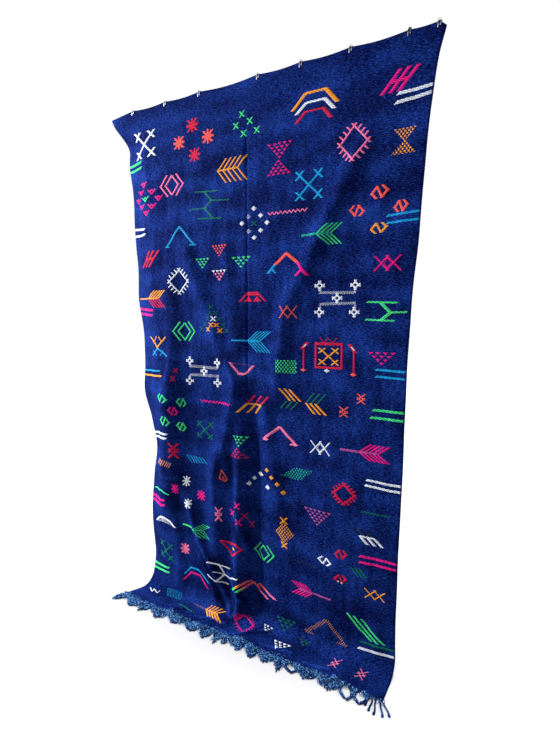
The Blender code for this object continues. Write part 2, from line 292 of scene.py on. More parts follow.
# Ornament by its kind: line is the width of its strokes, and count its teeth, lashes or turns.
# A negative width turns it round.
Motif = namedtuple("Motif", "across down wide tall line colour other count", defaults=(None, 0))
MOTIFS = {
    "ended_cross": (
        Motif(-59.3, 16.0, 13.6, 11.6, 1.1, "white"),
        Motif(29.9, 45.3, 11.4, 10.6, 0.9, "cyan"),
        Motif(-24.2, 146.3, 9.2, 7.6, 0.75, "dark_green"),
        Motif(-50.9, 209.5, 9.8, 8.2, 0.8, "dark_green"),
    ),
    "star": (
        Motif(-29.0, 12.8, 6.2, 5.4, 1.15, "crimson"),
        Motif(-37.0, 19.0, 6.2, 5.2, 1.15, "coral"),
        Motif(-20.3, 19.0, 6.2, 5.4, 1.15, "coral"),
        Motif(-28.0, 25.5, 6.2, 5.2, 1.15, "crimson"),
        Motif(-35.4, 171.7, 3.8, 4.4, 0.75, "white"),
        Motif(-40.9, 175.9, 3.4, 4.2, 0.80, "magenta"),
        Motif(-27.0, 177.2, 4.6, 4.1, 0.90, "magenta"),
        Motif(-33.4, 181.7, 3.8, 3.9, 0.75, "white"),
        Motif(-37.5, 205.2, 4.5, 4.5, 1.10, "pink"),
    ),
    "double_diamond": (
        Motif(-42.0, 36.6, 13.8, 9.2, 0.9, "pink"),
        Motif(-35.6, 102.0, 12.2, 8.4, 0.80, "light_green"),
        Motif(7.7, 196.4, 11.6, 7.2, 0.75, "light_green"),
    ),
    "lashed_diamond": (
        Motif(48.7, 33.1, 15.0, 15.6, 0.75, "pink", count=3),
        Motif(-38.4, 79.4, 13.8, 13.4, 0.70, "white", count=3),
        Motif(46.8, 162.9, 11.4, 9.6, 0.75, "crimson", count=3),
    ),
    "notched_triangle": (
        Motif(-60.9, 34.0, 5.6, 2.4, 0.8, "magenta"),
        Motif(-64.0, 37.2, 4.8, 2.2, 0.8, "magenta"),
        Motif(-55.0, 37.8, 5.6, 2.4, 0.8, "magenta"),
        Motif(-67.4, 40.5, 4.2, 2.2, 0.8, "magenta"),
        Motif(-60.2, 40.6, 6.2, 2.4, 0.7, "light_green"),
        Motif(-50.3, 41.2, 5.0, 2.4, 0.8, "magenta"),
        Motif(-63.8, 43.7, 4.8, 2.2, 0.8, "magenta"),
        Motif(-55.0, 44.4, 5.6, 2.4, 0.8, "magenta"),
        Motif(-59.4, 47.1, 5.0, 2.4, 0.8, "magenta"),
    ),
    "comb": (
        Motif(65.6, 15.2, 12.8, 6.8, 1.25, "magenta", "magenta", count=3),
        Motif(-57.9, 68.4, 13.4, 7.0, 1.25, "crimson", "crimson", count=3),
        Motif(3.2, 132.2, 15.4, 7.6, 1.0, "crimson", "yellow", count=3),
        Motif(56.6, 178.0, -11.4, 5.2, 1.0, "black", "white", count=3),
    ),
    "double_cross": (
        Motif(62.4, 76.2, 9.8, 5.2, 0.65, "magenta", "magenta"),
        Motif(21.3, 93.4, 7.0, 4.6, 0.55, "coral"),
        Motif(35.6, 146.4, 8.6, 5.0, 0.60, "white", "white"),
        Motif(60.0, 200.0, 7.8, 3.6, 0.50, "yellow"),
    ),
    "knotted_cross": (
        Motif(53.0, 125.6, 4.4, 3.7, 0.5, "coral"),
        Motif(45.8, 131.2, 4.5, 3.9, 0.5, "coral"),
        Motif(-41.6, 157.7, 5.6, 6.8, 1.0, "crimson"),
        Motif(-15.3, 183.3, 3.5, 6.0, 0.75, "pink"),
        Motif(47.0, 233.3, 4.3, 5.6, 0.42, "pink"),
        Motif(58.3, 233.5, 4.4, 5.4, 0.42, "pink"),
    ),
    "s_shape": (
        Motif(59.0, 51.4, 5.9, 4.2, 1.0, "coral"),
        Motif(50.2, 57.0, -5.3, 3.8, 0.95, "coral"),
        Motif(67.0, 57.0, 4.6, 3.8, 0.95, "coral"),
        Motif(58.8, 63.8, 5.8, 3.6, 0.9, "yellow"),
        Motif(-47.2, 133.2, -6.8, 3.6, 0.9, "light_green"),
        Motif(-37.4, 134.7, -3.9, 3.8, 0.85, "light_green"),
        Motif(-41.3, 138.9, -3.9, 3.8, 0.85, "magenta"),
        Motif(-45.8, 144.0, -5.0, 4.0, 0.9, "light_green"),
        Motif(-37.5, 145.9, -4.0, 3.8, 0.85, "light_green"),
        Motif(46.0, 187.0, 4.6, 3.4, 0.85, "crimson"),
        Motif(38.6, 191.7, -5.7, 3.0, 0.80, "white"),
        Motif(45.8, 197.0, 4.8, 2.8, 0.85, "crimson"),
    ),
    "barbell": (
        Motif(42.5, 88.2, 19.4, 14.6, 1.00, "white"),
        Motif(-24.4, 119.6, 21.2, 13.2, 1.20, "white"),
    ),
    "framed_square": (
        Motif(39.0, 110.1, 12.2, 9.9, 1.00, "crimson", "yellow"),
    ),
    "zigzag": (
        Motif(20.0, 54.4, 18.0, 1.0, 0.50, "pink", count=9),
        Motif(-17.0, 133.0, 18.6, 0.8, 0.50, "magenta", count=10),
        Motif(59.7, 168.4, 11.4, 0.6, 0.40, "dark_green", count=8),
        Motif(38.9, 104.2, 7.2, 1.9, 0.35, "crimson", count=2),
    ),
    "leaf": (
        Motif(-12.7, 165.1, 3.4, 5.6, 0.6, "coral"),
    ),
    "tent": (
        Motif(3.0, 87.0, 13.4, 4.0, 0.8, "crimson"),
    ),
}

# A diamond in outline, with lashes, that hangs askew: its corners, from the left one over the top
Askew = namedtuple("Askew", "colour line count corners")
ASKEW_DIAMONDS = (
    Askew("magenta", 0.42, 4, ((-3.7, 230.8), (-1.3, 227.4), (5.2, 230.8), (4.6, 237.0))),
)

# A feathered arrow: head is where its first barb leaves the axis, and reach how far across a barb runs
Arrow = namedtuple(
    "Arrow",
    "tail tip top bottom axis head reach barbs line shaft upper lower thick",
    defaults=(0.65,),
)
AXIS_WIDTH = 0.6
ARROWS = (
    Arrow(-15.0, 0.0, 29.8, 39.4, 34.2, -15.0, 4.4, 5, 0.75, "yellow", "yellow", "yellow"),
    Arrow(26.8, 44.0, 60.6, 68.2, 64.1, 34.4, 4.5, 4, 0.60, "teal", "light_green", "light_green", 0.9),
    Arrow(-69.0, -47.3, 83.3, 91.0, 86.9, -60.0, 5.0, 5, 0.75, "yellow", "yellow", "crimson"),
    Arrow(-7.6, 12.0, 101.3, 110.0, 105.4, 0.0, 5.6, 5, 0.60, "cyan", "cyan", "cyan"),
    Arrow(44.6, 64.6, 142.4, 148.6, 145.7, 52.6, 4.6, 5, 0.65, "mauve", "magenta", "magenta", 0.9),
    Arrow(-38.6, -20.8, 190.5, 196.6, 193.2, -30.2, 4.8, 4, 0.38,
          "light_green", "light_green", "light_green"),
    Arrow(41.6, 23.0, 204.5, 209.5, 207.0, 33.0, -3.6, 5, 0.60, "mauve", "magenta", "magenta"),
)

# Rows of small triangles that make one large one. Where tip is above top, it stands on its base.
Rows = namedtuple("Rows", "left right top tip count colour first", defaults=(None,))
TRIANGLES = (
    Rows(10.4, 22.6, 27.6, 33.9, 5, "magenta"),
    Rows(10.2, 21.8, 39.8, 33.9, 5, "magenta"),
    Rows(-19.0, -10.0, 64.9, 69.8, 5, "coral"),
    Rows(-28.4, -20.0, 69.9, 74.6, 4, "light_green"),
    Rows(-8.2, 2.5, 70.3, 75.2, 4, "light_green"),
    Rows(-19.2, -10.1, 75.4, 80.2, 4, "pink", "white"),
    Rows(55.2, 66.6, 107.8, 112.8, 4, "magenta"),
    Rows(-7.2, 0.2, 146.4, 151.2, 4, "light_green"),
    Rows(-8.7, 0.3, 155.8, 151.2, 4, "crimson"),
    Rows(28.4, 41.6, 171.6, 178.2, 6, "mauve"),
    Rows(14.6, 25.0, 222.3, 227.8, 4, "dark_green"),
    Rows(27.8, 33.8, 227.7, 230.8, 3, "dark_green"),
    Rows(9.2, 15.0, 228.0, 231.0, 3, "white"),
    Rows(18.2, 27.2, 232.9, 238.9, 4, "white"),
)
TRIANGLE_WIDTH = 0.86
TRIANGLE_HEIGHT = 0.84

Group = namedtuple("Group", "colour width fill items")


def group(colour, width, *items, fill="solid"):
    """Items of one colour, width of stroke and fill, laid one after another."""
    return Group(colour, width, fill, items)


# Small crosses, each by its place across and down, its width and its height
CROSSES = (
    group("light_green", 0.70, (-2.0, 13.2, 2.4, 2.4), (-5.1, 17.4, 2.4, 2.4), (2.0, 16.8, 2.4, 2.4),
          (-1.2, 21.2, 2.3, 2.3), (5.5, 21.0, 2.4, 2.4)),
    group("dark_green", 0.60, (3.9, 57.4, 2.2, 1.7)),
    group("dark_green", 0.45, (-19.0, 91.2, 1.8, 1.6), (-19.0, 93.6, 1.8, 1.6), (-16.6, 93.6, 1.8, 1.6),
          (-20.2, 96.1, 1.8, 1.6), (-14.9, 96.4, 1.8, 1.6), (-22.6, 98.5, 2.2, 1.6),
          (-12.9, 99.0, 1.8, 1.6), (-25.0, 100.6, 2.2, 1.6), (-11.0, 101.5, 1.8, 1.6)),
    group("white", 0.65, (-17.4, 96.2, 2.0, 1.8)),
    group("yellow", 0.65, (-18.3, 98.8, 1.8, 1.6), (-15.8, 98.9, 1.8, 1.6), (-20.5, 100.8, 2.2, 1.6),
          (-14.2, 101.3, 1.8, 1.8)),
    group("crimson", 0.50, (-40.1, 120.1, 1.4, 2.0), (-41.0, 123.7, 1.4, 2.3)),
    group("magenta", 0.65, (-4.3, 177.1, 2.7, 2.6), (-7.8, 181.3, 2.8, 2.3), (-3.5, 184.2, 2.0, 2.5)),
    group("crimson", 0.45, (-1.5, 181.5, 1.8, 2.6), (0.8, 185.4, 1.8, 2.5)),
    group("yellow", 0.70, (19.2, 179.2, 2.5, 2.4), (19.2, 189.9, 2.6, 2.3)),
)

# Small filled diamonds, each by its place across and down, its width and its height
DOTS = (
    group("white", None, (3.9, 51.5, 2.8, 2.1)),
    group("white", None, (1.0, 54.5, 3.0, 2.1), fill="hatched"),
    group("white", None, (7.1, 54.5, 2.8, 2.0), (-2.4, 56.9, 2.8, 2.1), (10.4, 57.6, 2.8, 2.1)),
    group("white", None, (1.1, 60.3, 3.4, 2.3), fill="hatched"),
    group("white", None, (7.1, 60.4, 2.8, 2.0), (4.0, 63.1, 2.8, 2.0)),
    group("yellow", None, (10.6, 159.2, 2.6, 2.0), (13.3, 161.8, 2.6, 2.0), (16.0, 164.3, 2.4, 2.0),
          (18.7, 167.5, 2.6, 2.0)),
    group("white", None, (6.0, 162.0, 4.4, 2.0), (2.0, 164.5, 2.2, 2.0), (0.0, 167.0, 2.0, 2.2),
          (10.8, 166.6, 3.0, 2.2)),
    group("yellow", None, (-7.2, 197.7, 2.8, 1.3)),
    group("white", None, (38.3, 115.9, 2.8, 1.6)),
    group("coral", None, (27.8, 116.1, 3.0, 1.4), (49.7, 116.7, 3.0, 1.4)),
    group("white", None, (44.8, 198.2, 1.1, 0.9), (46.3, 198.7, 1.3, 0.8)),
)

# Filled shapes, by their corners
Patch = namedtuple("Patch", "colour fill corners")
PATCHES = (
    Patch("yellow", "checked", ((63.2, 31.2), (72.4, 31.2), (67.8, 35.6))),
    Patch("yellow", "checked", ((67.6, 34.8), (71.8, 39.6), (63.0, 39.6))),
    Patch("light_green", "checked", ((15.4, 112.4), (24.8, 112.4), (24.8, 117.8), (15.4, 117.8))),
    Patch("teal", "checked", ((17.0, 160.4), (24.4, 156.0), (33.0, 156.2), (26.4, 161.2))),
    Patch("yellow", "checked", ((14.6, 184.6), (19.3, 180.0), (24.0, 184.6), (19.2, 189.4))),
    Patch(
        "cyan",
        "dotted",
        ((-48.4, 228.2), (-46.4, 227.2), (-38.2, 227.4), (-36.4, 231.4), (-45.4, 231.6)),
    ),
    Patch(
        "white",
        "hatched",
        ((-58.0, 196.2), (-53.0, 193.2), (-48.0, 193.2), (-44.6, 195.2), (-50.0, 195.0)),
    ),
)

# Free lines, by the points that they pass
LINES = (
    # The legs and the tops of nested arches
    group("yellow", 1.3, ((22.6, 17.0), (28.3, 11.8))),
    group("yellow", 0.9, ((28.3, 11.8), (36.9, 11.6))),
    group("yellow", 1.6, ((36.9, 11.6), (41.6, 17.2))),
    group("white", 1.2, ((24.2, 18.8), (28.5, 15.3))),
    group("white", 0.8, ((28.5, 15.3), (36.5, 15.1))),
    group("white", 1.5, ((36.5, 15.1), (40.2, 19.2))),
    group("crimson", 1.2, ((24.4, 21.8), (28.1, 18.5))),
    group("crimson", 0.7, ((28.1, 18.5), (35.9, 18.4))),
    group("crimson", 1.5, ((35.9, 18.4), (39.0, 22.2))),
    group("cyan", 0.75, ((-37.7, 217.4), (-34.2, 213.6), (-29.2, 213.8), (-23.0, 218.0))),
    group("magenta", 0.85, ((-38.2, 220.3), (-34.2, 216.1), (-28.6, 216.2), (-23.6, 221.4))),
    # Branches
    group("dark_green", 0.55, ((-28.0, 41.3), (-14.6, 42.2))),
    group("dark_green", 1.15, ((-22.6, 41.8), (-18.6, 45.6), (-22.4, 48.9), (-17.6, 53.2))),
    group("dark_green", 0.55, ((-18.6, 45.8), (-9.2, 46.5)), ((-22.0, 48.6), (-31.6, 48.5))),
    group("dark_green", 0.60, ((-26.6, 52.8), (-13.2, 53.6))),
    group("light_green", 0.65, ((54.8, 89.8), (66.6, 90.2))),
    group("light_green", 1.20, ((60.2, 90.2), (64.0, 93.6), (60.4, 96.4))),
    group("light_green", 0.65, ((64.0, 93.6), (70.0, 93.5)), ((54.2, 96.2), (65.4, 96.6))),
    group("white", 0.60, ((-21.0, 206.3), (-10.2, 208.0))),
    group("white", 0.90, ((-15.6, 206.9), (-13.2, 211.2), (-16.6, 214.6))),
    group("white", 0.60, ((-13.0, 211.4), (-9.6, 212.0), (-4.2, 210.4))),
    group("white", 0.50, ((-18.2, 210.4), (-13.6, 211.4))),
    group("white", 0.60, ((-20.6, 212.2), (-16.6, 214.6), (-11.2, 215.6))),
    # Tents of two strokes
    group("cyan", 1.05, ((-45.6, 63.6), (-37.8, 55.2), (-29.0, 63.6))),
    group("cyan", 0.70, ((-46.6, 63.7), (-44.2, 63.7)), ((-31.4, 63.7), (-27.8, 63.7))),
    group("cyan", 1.15, ((10.8, 77.8), (14.6, 74.2))),
    group("cyan", 0.90, ((14.4, 77.8), (12.8, 76.0))),
    group("coral", 1.30, ((14.4, 74.4), (19.8, 70.3), (25.6, 74.6))),
    group("magenta", 1.20, ((25.4, 74.4), (30.0, 79.2))),
    group("magenta", 0.95, ((25.0, 79.2), (28.0, 77.0))),
    group("pink", 1.15, ((9.8, 145.4), (16.6, 140.2), (24.4, 146.8))),
    group("pink", 0.80, ((8.8, 145.9), (11.4, 146.0)), ((21.8, 146.8), (25.0, 147.0))),
    group("pink", 1.00, ((-8.3, 114.8), (-4.0, 119.4), (-1.2, 119.6), (3.2, 115.8))),
    group("mauve", 0.50, ((-7.8, 115.0), (2.6, 115.7)), fill="hatched"),
    group("tan", 1.70, ((30.6, 223.8), (39.6, 216.2), (47.4, 224.0)), fill="dotted"),
    group("tan", 0.90, ((29.6, 224.3), (33.2, 224.3)), ((44.4, 224.3), (48.4, 224.4)), fill="dotted"),
    group("coral", 1.00, ((-0.6, 211.3), (-4.2, 213.6))),
    group("yellow", 1.00, ((-4.2, 213.6), (-5.8, 214.9))),
    group("light_green", 1.00, ((-5.8, 214.9), (-8.0, 216.8))),
    group("coral", 0.90, ((0.8, 212.1), (-2.2, 214.4))),
    group("yellow", 0.90, ((-2.2, 214.4), (-3.2, 215.2))),
    group("light_green", 0.90, ((-3.2, 215.2), (-4.6, 216.3))),
    group("coral", 1.00, ((3.2, 212.6), (8.4, 213.7))),
    group("pink", 1.00, ((8.4, 213.7), (13.6, 215.8))),
    group("coral", 0.80, ((0.8, 212.1), (4.4, 215.6))),
    group("pink", 0.95, ((4.4, 215.6), (9.4, 217.2))),
    # A forked cross in two colours
    group("yellow", 0.85, ((-59.8, 105.1), (-53.2, 110.2)), ((-47.6, 104.9), (-54.0, 110.2))),
    group("yellow", 0.65, ((-54.6, 104.8), (-56.4, 107.4)), ((-52.3, 105.0), (-50.7, 107.0))),
    group("cyan", 0.85, ((-53.3, 110.3), (-58.0, 113.9)), ((-53.2, 110.3), (-46.3, 113.7))),
    group("cyan", 0.60, ((-57.4, 111.5), (-54.4, 113.7)), ((-49.4, 111.2), (-51.2, 113.7))),
    # Posts on either side of the framed square
    group("crimson", 0.85, ((27.9, 107.4), (27.9, 115.8))),
    group("crimson", 1.45, ((27.4, 107.4), (29.3, 105.5))),
    group("white", 0.55, ((27.9, 106.9), (28.9, 105.9))),
    group("crimson", 0.85, ((49.8, 107.8), (49.8, 116.3))),
    group("crimson", 1.45, ((48.3, 105.8), (50.2, 108.2))),
    group("white", 0.55, ((48.8, 106.4), (49.9, 107.7))),
    # Groups of slanted strokes
    group("yellow", 0.80, ((17.0, 124.2), (21.4, 128.8)), ((19.2, 124.2), (23.8, 128.8)),
          ((21.4, 124.4), (26.2, 128.8))),
    group("dark_green", 0.75, ((20.0, 129.2), (17.2, 132.2)), ((22.6, 129.2), (19.6, 132.2)),
          ((25.2, 129.2), (22.2, 132.4)), ((32.8, 125.0), (29.6, 128.6)), ((35.4, 125.0), (32.0, 128.8)),
          ((38.0, 125.0), (34.4, 129.0))),
    group("yellow", 0.85, ((29.0, 129.2), (33.2, 133.3)), ((31.2, 129.2), (35.6, 133.3)),
          ((33.4, 129.2), (38.0, 133.3))),
    group("cyan", 0.60, ((-35.0, 159.2), (-32.6, 162.2)), ((-33.2, 159.2), (-30.8, 162.2)),
          ((-31.4, 159.2), (-29.0, 162.2)), ((-29.6, 159.2), (-27.2, 162.0)),
          ((-27.8, 159.2), (-25.4, 162.0)), ((-26.0, 159.2), (-23.4, 161.9))),
    group("tan", 0.60, ((-58.2, 167.4), (-53.0, 163.2)), ((-53.4, 166.6), (-49.4, 162.8)),
          ((-50.2, 165.9), (-47.4, 162.8))),
    group("tan", 0.55, ((-47.8, 165.4), (-46.2, 163.0)), ((-46.4, 165.6), (-45.0, 163.3))),
    group("tan", 0.50, ((-45.2, 165.8), (-44.0, 163.6)), ((-44.2, 166.1), (-43.1, 164.0))),
    # A half moon, a triangle in outline, and single lines
    group("white", 0.95, ((-59.6, 196.6), (-55.0, 193.4), (-51.0, 192.6), (-46.6, 193.6), (-43.2, 195.6))),
    group("crimson", 0.85,
          ((-14.4, 195.4), (-8.6, 201.4), (-2.2, 196.6), (-5.0, 194.9), (-9.2, 196.0), (-14.4, 195.4))),
    group("black", 0.45, ((20.6, 195.5), (35.0, 195.8))),
    group("light_green", 0.55, ((-34.0, 235.4), (-25.0, 235.6)), fill="dotted"),
    # A small bent line, an arrow that hangs askew, three short bars and three long curved strokes
    group("white", 0.50, ((-57.0, 230.9), (-53.2, 233.2), (-54.3, 230.8), (-50.5, 232.8), (-50.7, 230.6))),
    group("tan", 0.70, ((-28.3, 230.5), (-20.7, 230.8)), fill="hatched"),
    group("yellow", 0.60, ((-20.7, 230.8), (-13.5, 231.6))),
    group("yellow", 0.80, ((-20.7, 230.7), (-19.2, 228.1)), ((-19.1, 230.8), (-16.7, 227.6)),
          ((-17.3, 231.0), (-14.4, 227.5)), ((-15.3, 231.3), (-12.4, 227.8)),
          ((-13.5, 231.5), (-10.6, 228.7))),
    group("yellow", 0.70, ((-20.7, 231.0), (-15.1, 235.7)), ((-19.0, 231.0), (-13.1, 236.2)),
          ((-17.2, 231.2), (-11.0, 236.5)), ((-15.3, 231.4), (-8.9, 236.8)),
          ((-13.5, 231.6), (-7.1, 237.0))),
    group("dark_green", 0.75, ((50.4, 191.4), (53.2, 194.2)), ((52.2, 191.3), (55.0, 194.3)),
          ((54.0, 191.3), (56.4, 193.8))),
    group("light_green", 0.85, ((49.2, 210.2), (54.3, 215.4), (58.8, 218.7)),
          ((51.9, 210.6), (56.0, 214.9), (61.4, 218.9)), ((54.9, 211.2), (58.4, 214.6), (64.2, 218.8))),
)

# Pairs of stripes that run in from the selvedges: the last point lies past the edge
STRIPES = (
    group("light_green", 1.15, ((-62.4, 23.3), (-69.4, 23.6), (-81.0, 23.0))),
    group("light_green", 0.95, ((-62.4, 25.8), (-69.7, 26.1), (-81.0, 25.5))),
    group("white", 1.05, ((65.2, 19.6), (71.0, 19.5), (79.0, 19.0))),
    group("white", 1.15, ((64.4, 22.5), (71.4, 22.0), (79.0, 21.3))),
    group("white", 1.00, ((-61.2, 54.3), (-66.0, 53.9), (-76.0, 52.9)),
          ((-61.0, 56.6), (-66.0, 56.9), (-76.0, 56.2))),
    group("cyan", 0.75, ((61.8, 59.9), (76.0, 59.2)), ((61.8, 62.4), (76.0, 61.9))),
    group("magenta", 1.10, ((-56.2, 92.5), (-73.0, 91.4))),
    group("magenta", 1.00, ((-57.0, 94.8), (-73.0, 93.8))),
    group("cyan", 0.75, ((58.8, 114.3), (73.0, 114.7)), ((58.8, 116.8), (73.0, 117.3)),
          ((-50.8, 120.9), (-71.0, 121.9))),
    group("yellow", 0.85, ((-49.0, 123.2), (-71.0, 124.2))),
    group("light_green", 0.90, ((58.0, 129.2), (73.0, 129.4)), ((57.0, 132.1), (73.0, 132.3))),
    group("white", 1.00, ((-44.6, 150.2), (-50.4, 150.0), (-66.0, 153.4)),
          ((-45.0, 152.2), (-50.0, 152.1), (-66.0, 155.5))),
    group("white", 0.85, ((55.9, 155.9), (65.0, 156.4), (73.0, 156.2)),
          ((55.3, 158.0), (65.0, 158.6), (73.0, 158.4))),
    group("light_green", 0.60, ((-44.2, 179.2), (-49.6, 177.9), (-61.8, 180.4))),
    group("magenta", 1.25, ((-48.0, 182.8), (-57.0, 184.2), (-68.0, 184.9)),
          ((-48.6, 185.6), (-58.0, 186.8), (-68.0, 187.0))),
    group("magenta", 0.85, ((53.6, 185.9), (72.0, 185.8)), ((53.6, 188.3), (72.0, 188.0))),
    group("light_green", 0.95, ((-49.0, 218.0), (-57.0, 218.9), (-67.0, 218.9)),
          ((-49.0, 220.4), (-57.0, 221.1), (-67.0, 220.9))),
    group("dark_green", 0.80, ((54.4, 220.4), (71.0, 219.7))),
    group("white", 0.95, ((53.6, 223.2), (71.0, 222.2))),
)

# The selvedges: the weft turns back round them, so they are a row of small bumps
SELVEDGE_RADIUS = 0.0021
SELVEDGE_BUMP = 0.0005
SELVEDGE_BUMPS = 330
SELVEDGE_STEPS = 990
SELVEDGE_SIDES = 6
SELVEDGE_TOP = 0.002
SELVEDGE_FOOT = 0.001

# The fringe: tassels of plied cords, drawn together at their tips
CORD_PITCH = 0.0064
CORD_STEPS = 34
CORD_SIDES = 5
YARN_RADIUS = 0.0017
PLY_RADIUS = 0.0016
TWIST_LENGTH = 0.0105
CORD_REACH = 0.066
NARROWEST_TASSEL = 0.038
WIDEST_TASSEL = 0.110
TASSEL_GAP = 0.001
FRINGE_SEED = 11
WANDER = 0.0016
WANDER_TURN = 9.0
LIES_FROM = 0.4

# A cord swells into a knob and thins at its tip: the shares of its length between which it does
KNOB_SHARES = (0.78, 0.92)
TIP_SHARES = (0.95, 1.0)
TIP_THINNING = 0.5
CORD_KNOB = 0.25

# How a tassel falls: reach for its longest cord, gather for its width at the tips against that at the hem,
# slip for its lean and peak for the place of its longest cord. Its outer cords are shorter.
REACH_RANGE = (0.80, 1.15)
GATHER_RANGE = (0.60, 0.95)
SLIP_RANGE = (-0.18, 0.18)
PEAK_RANGE = (0.40, 0.80)
EDGE_FULLNESS = 0.52
PEAK_FULLNESS = 0.48
FULLNESS_POWER = 0.9
TASSEL_BOW = 0.10
TIP_JITTER = (-0.006, 0.010)
BOW_JITTER = (-0.002, 0.002)
SECOND_LAYER = 0.0035
LAYER_JITTER = (0.0, 0.0015)

# Right of this place, a tassel narrower than this opens into a hole between its two halves
HOLLOWS_FROM = 0.28
HOLLOW_TASSEL = 0.064
HOLLOW_GATHER = (0.10, 0.25)
HOLLOW_FULLNESS = 0.9
HOLLOW_BOW = 0.34

# A tangle of finer yarn, coloured paler as painted highlight: loops over the roots of the cords, and curls
# over the tassels
LOOPS_PER_METRE = 130
LOOP_STEPS = 12
LOOP_SIDES = 4
LOOP_SWEEP = 1.3
LOOP_LEAD = 0.15
LOOP_WIDTH = 0.4
LOOP_DROP = 0.5
LOOP_PLACE = (0.1, 0.9)
LOOP_REACH = (0.008, 0.026)
LOOP_LEAN = (-0.010, 0.010)
LOOP_RISE = (0.002, 0.008)
LOOP_THICKNESS = (0.9, 1.4)
CURLS_PER_METRE = 640
CURL_STEPS = 12
CURL_RADIUS = 0.0009
CURL_TURNS = (0.7, 1.15)
CURL_CLOSING = 0.4
CURL_TILT = (0.1, 0.6)
CURL_THICKNESS = (0.85, 1.30)
CURL_PLACE = (-0.06, 0.94)
CURL_LIFT = (0.003, 0.0065)
CURL_SIZE = (0.0040, 0.0125)
HOLLOW_CURL_SIZE = (0.0028, 0.0044)

# More curls at the left end of the hem, where the fringe is bunched up
CLUMP_CURLS = 70
CLUMP_SPREAD = 0.012
CLUMP_LIFT = (0.003, 0.007)
CLUMP_CURL_SIZE = (0.003, 0.006)

# The cords lean sideways as they fall: lean is their slip for each unit of reach
Lean = namedtuple("Lean", "across lean")
LEANS = (
    Lean(-0.68, -0.40),
    Lean(-0.50, -0.10),
    Lean(-0.20, 0.25),
    Lean(0.10, 0.35),
    Lean(0.40, 0.45),
    Lean(0.74, 0.50),
)

# The single cords at the right corner
Finger = namedtuple("Finger", "lean reach")
FINGERS = (
    Finger(0.15, 0.058),
    Finger(0.30, 0.076),
    Finger(0.45, 0.084),
    Finger(0.80, 0.078),
    Finger(1.15, 0.064),
)
FINGER_STRETCH = 0.055
FINGER_THICKNESS = 1.35
FINGER_KNOB = 0.75
FINGER_SLIP = 0.8
FINGER_BOW = 0.003
FINGER_RAISED = 0.001

# The clips: two prongs in front, one plate behind, a bridge over the edge and a wire loop or a knob on it
CLIP_WIRE = 0.0007
CLIP_FACE = CLOTH_THICKNESS / 2 + 0.0003 + CLIP_WIRE
CLIP_BRIDGE = 0.0013
CLIP_HALF = 0.0070
PRONG_SIDE = 0.0050
LONG_PRONG = 0.020
LONG_PRONG_HALF = 0.0019
SHORT_PRONG = 0.0145
SHORT_PRONG_HALF = 0.0016
SHORT_PRONG_BEND = 0.006
BEND_SIDE = 0.0044
FOOT_SIDE = 0.0024
BACK_PLATE = 0.014
LOOP_RADIUS = 0.0058
LOOP_WIRE = 0.0010
LOOP_LIFT = 0.0014
LOOP_PAST = 0.1
LOOP_RINGS = 15
KNOB_RADIUS = 0.0062
KNOB_SQUASH = 0.62
KNOB_LIFT = 0.5
KNOB_RINGS = 9
KNOB_POLE = 0.0001
KNOBBED_CLIPS = (7,)
BAR_SIDES = 8
BAR_EASE = 0.0005
BAR_END = 0.6
BAR_SQUARENESS = 0.6

# The chart's square on the cloth's texture map, in metres
MAP_WIDTH = 1.70
MAP_LENGTH = 2.45

# The key light stands far to the left and lights the rug alone. The floor has its own light from above.
KEY_PLACE = (-3.60, -1.30, 0.40)
KEY_TARGET = (0.0, 0.0, -1.15)
KEY_SIZE = 1.4
KEY_ENERGY = 950.0
FLOOR_LIGHT = 1.4
FLOOR_LIGHT_ANGLE = 20.0
FLOOR_HALF = 14.0
FLOOR_GAP = 0.0004
SURROUND_STRENGTH = 1.05

# The camera, set from the clips' level line and the upright creases
CAMERA_PLACE = (1.431, -1.877, -0.942)
CAMERA_TURN = (84.0, 0.0, 34.0)
CAMERA_LENS = 27.02
CAMERA_SENSOR = 36.0


def smooth_step(value, low, high):
    """0 below low, 1 above high, and a smooth rise between them."""
    share = np.clip((value - low) / (high - low), 0.0, 1.0)
    return share * share * (3.0 - 2.0 * share)


def bell(distance, spread):
    """1 at no distance, falling smoothly away on both sides."""
    return np.exp(-((distance / spread) ** 2))


def along_table(places, values, at):
    """The value at each place, on a smooth curve through the table's rows."""
    places, values = np.array(places), np.array(values)
    slopes = np.gradient(values, places)
    at = np.clip(at, places[0], places[-1])
    row = np.clip(np.searchsorted(places, at, side="right") - 1, 0, len(places) - 2)
    span = places[row + 1] - places[row]
    share = (at - places[row]) / span
    rise = 3.0 * share**2 - 2.0 * share**3
    leave = share * (1.0 - share) ** 2
    arrive = -(share**2) * (1.0 - share)
    steps = values[row + 1] - values[row]
    return values[row] + steps * rise + span * (slopes[row] * leave + slopes[row + 1] * arrive)


def half_widths(down):
    """How far the cloth reaches to the left and to the right of its middle crease."""
    places = [row.down for row in REACHES]
    left = along_table(places, [row.left for row in REACHES], down)
    right = along_table(places, [row.right for row in REACHES], down)
    return left, right


def fold_proud(across, down):
    """How far the folds bring the cloth out in front of a flat hang."""
    proud = np.zeros_like(across)
    for fold in FOLDS:
        share = (down - fold.top_down) / (fold.foot_down - fold.top_down)
        middle = fold.top_across + (fold.foot_across - fold.top_across) * share
        fade = smooth_step(share, FOLD_FROM, FOLD_RISE)
        fade = fade * (1.0 - smooth_step(share, 1.0 - FOLD_FALL, FOLD_TO))
        proud += fold.proud * fade * bell(across - middle, fold.spread)
    return proud * smooth_step(down, TOP_BAND, FOLDS_FULL_DOWN)


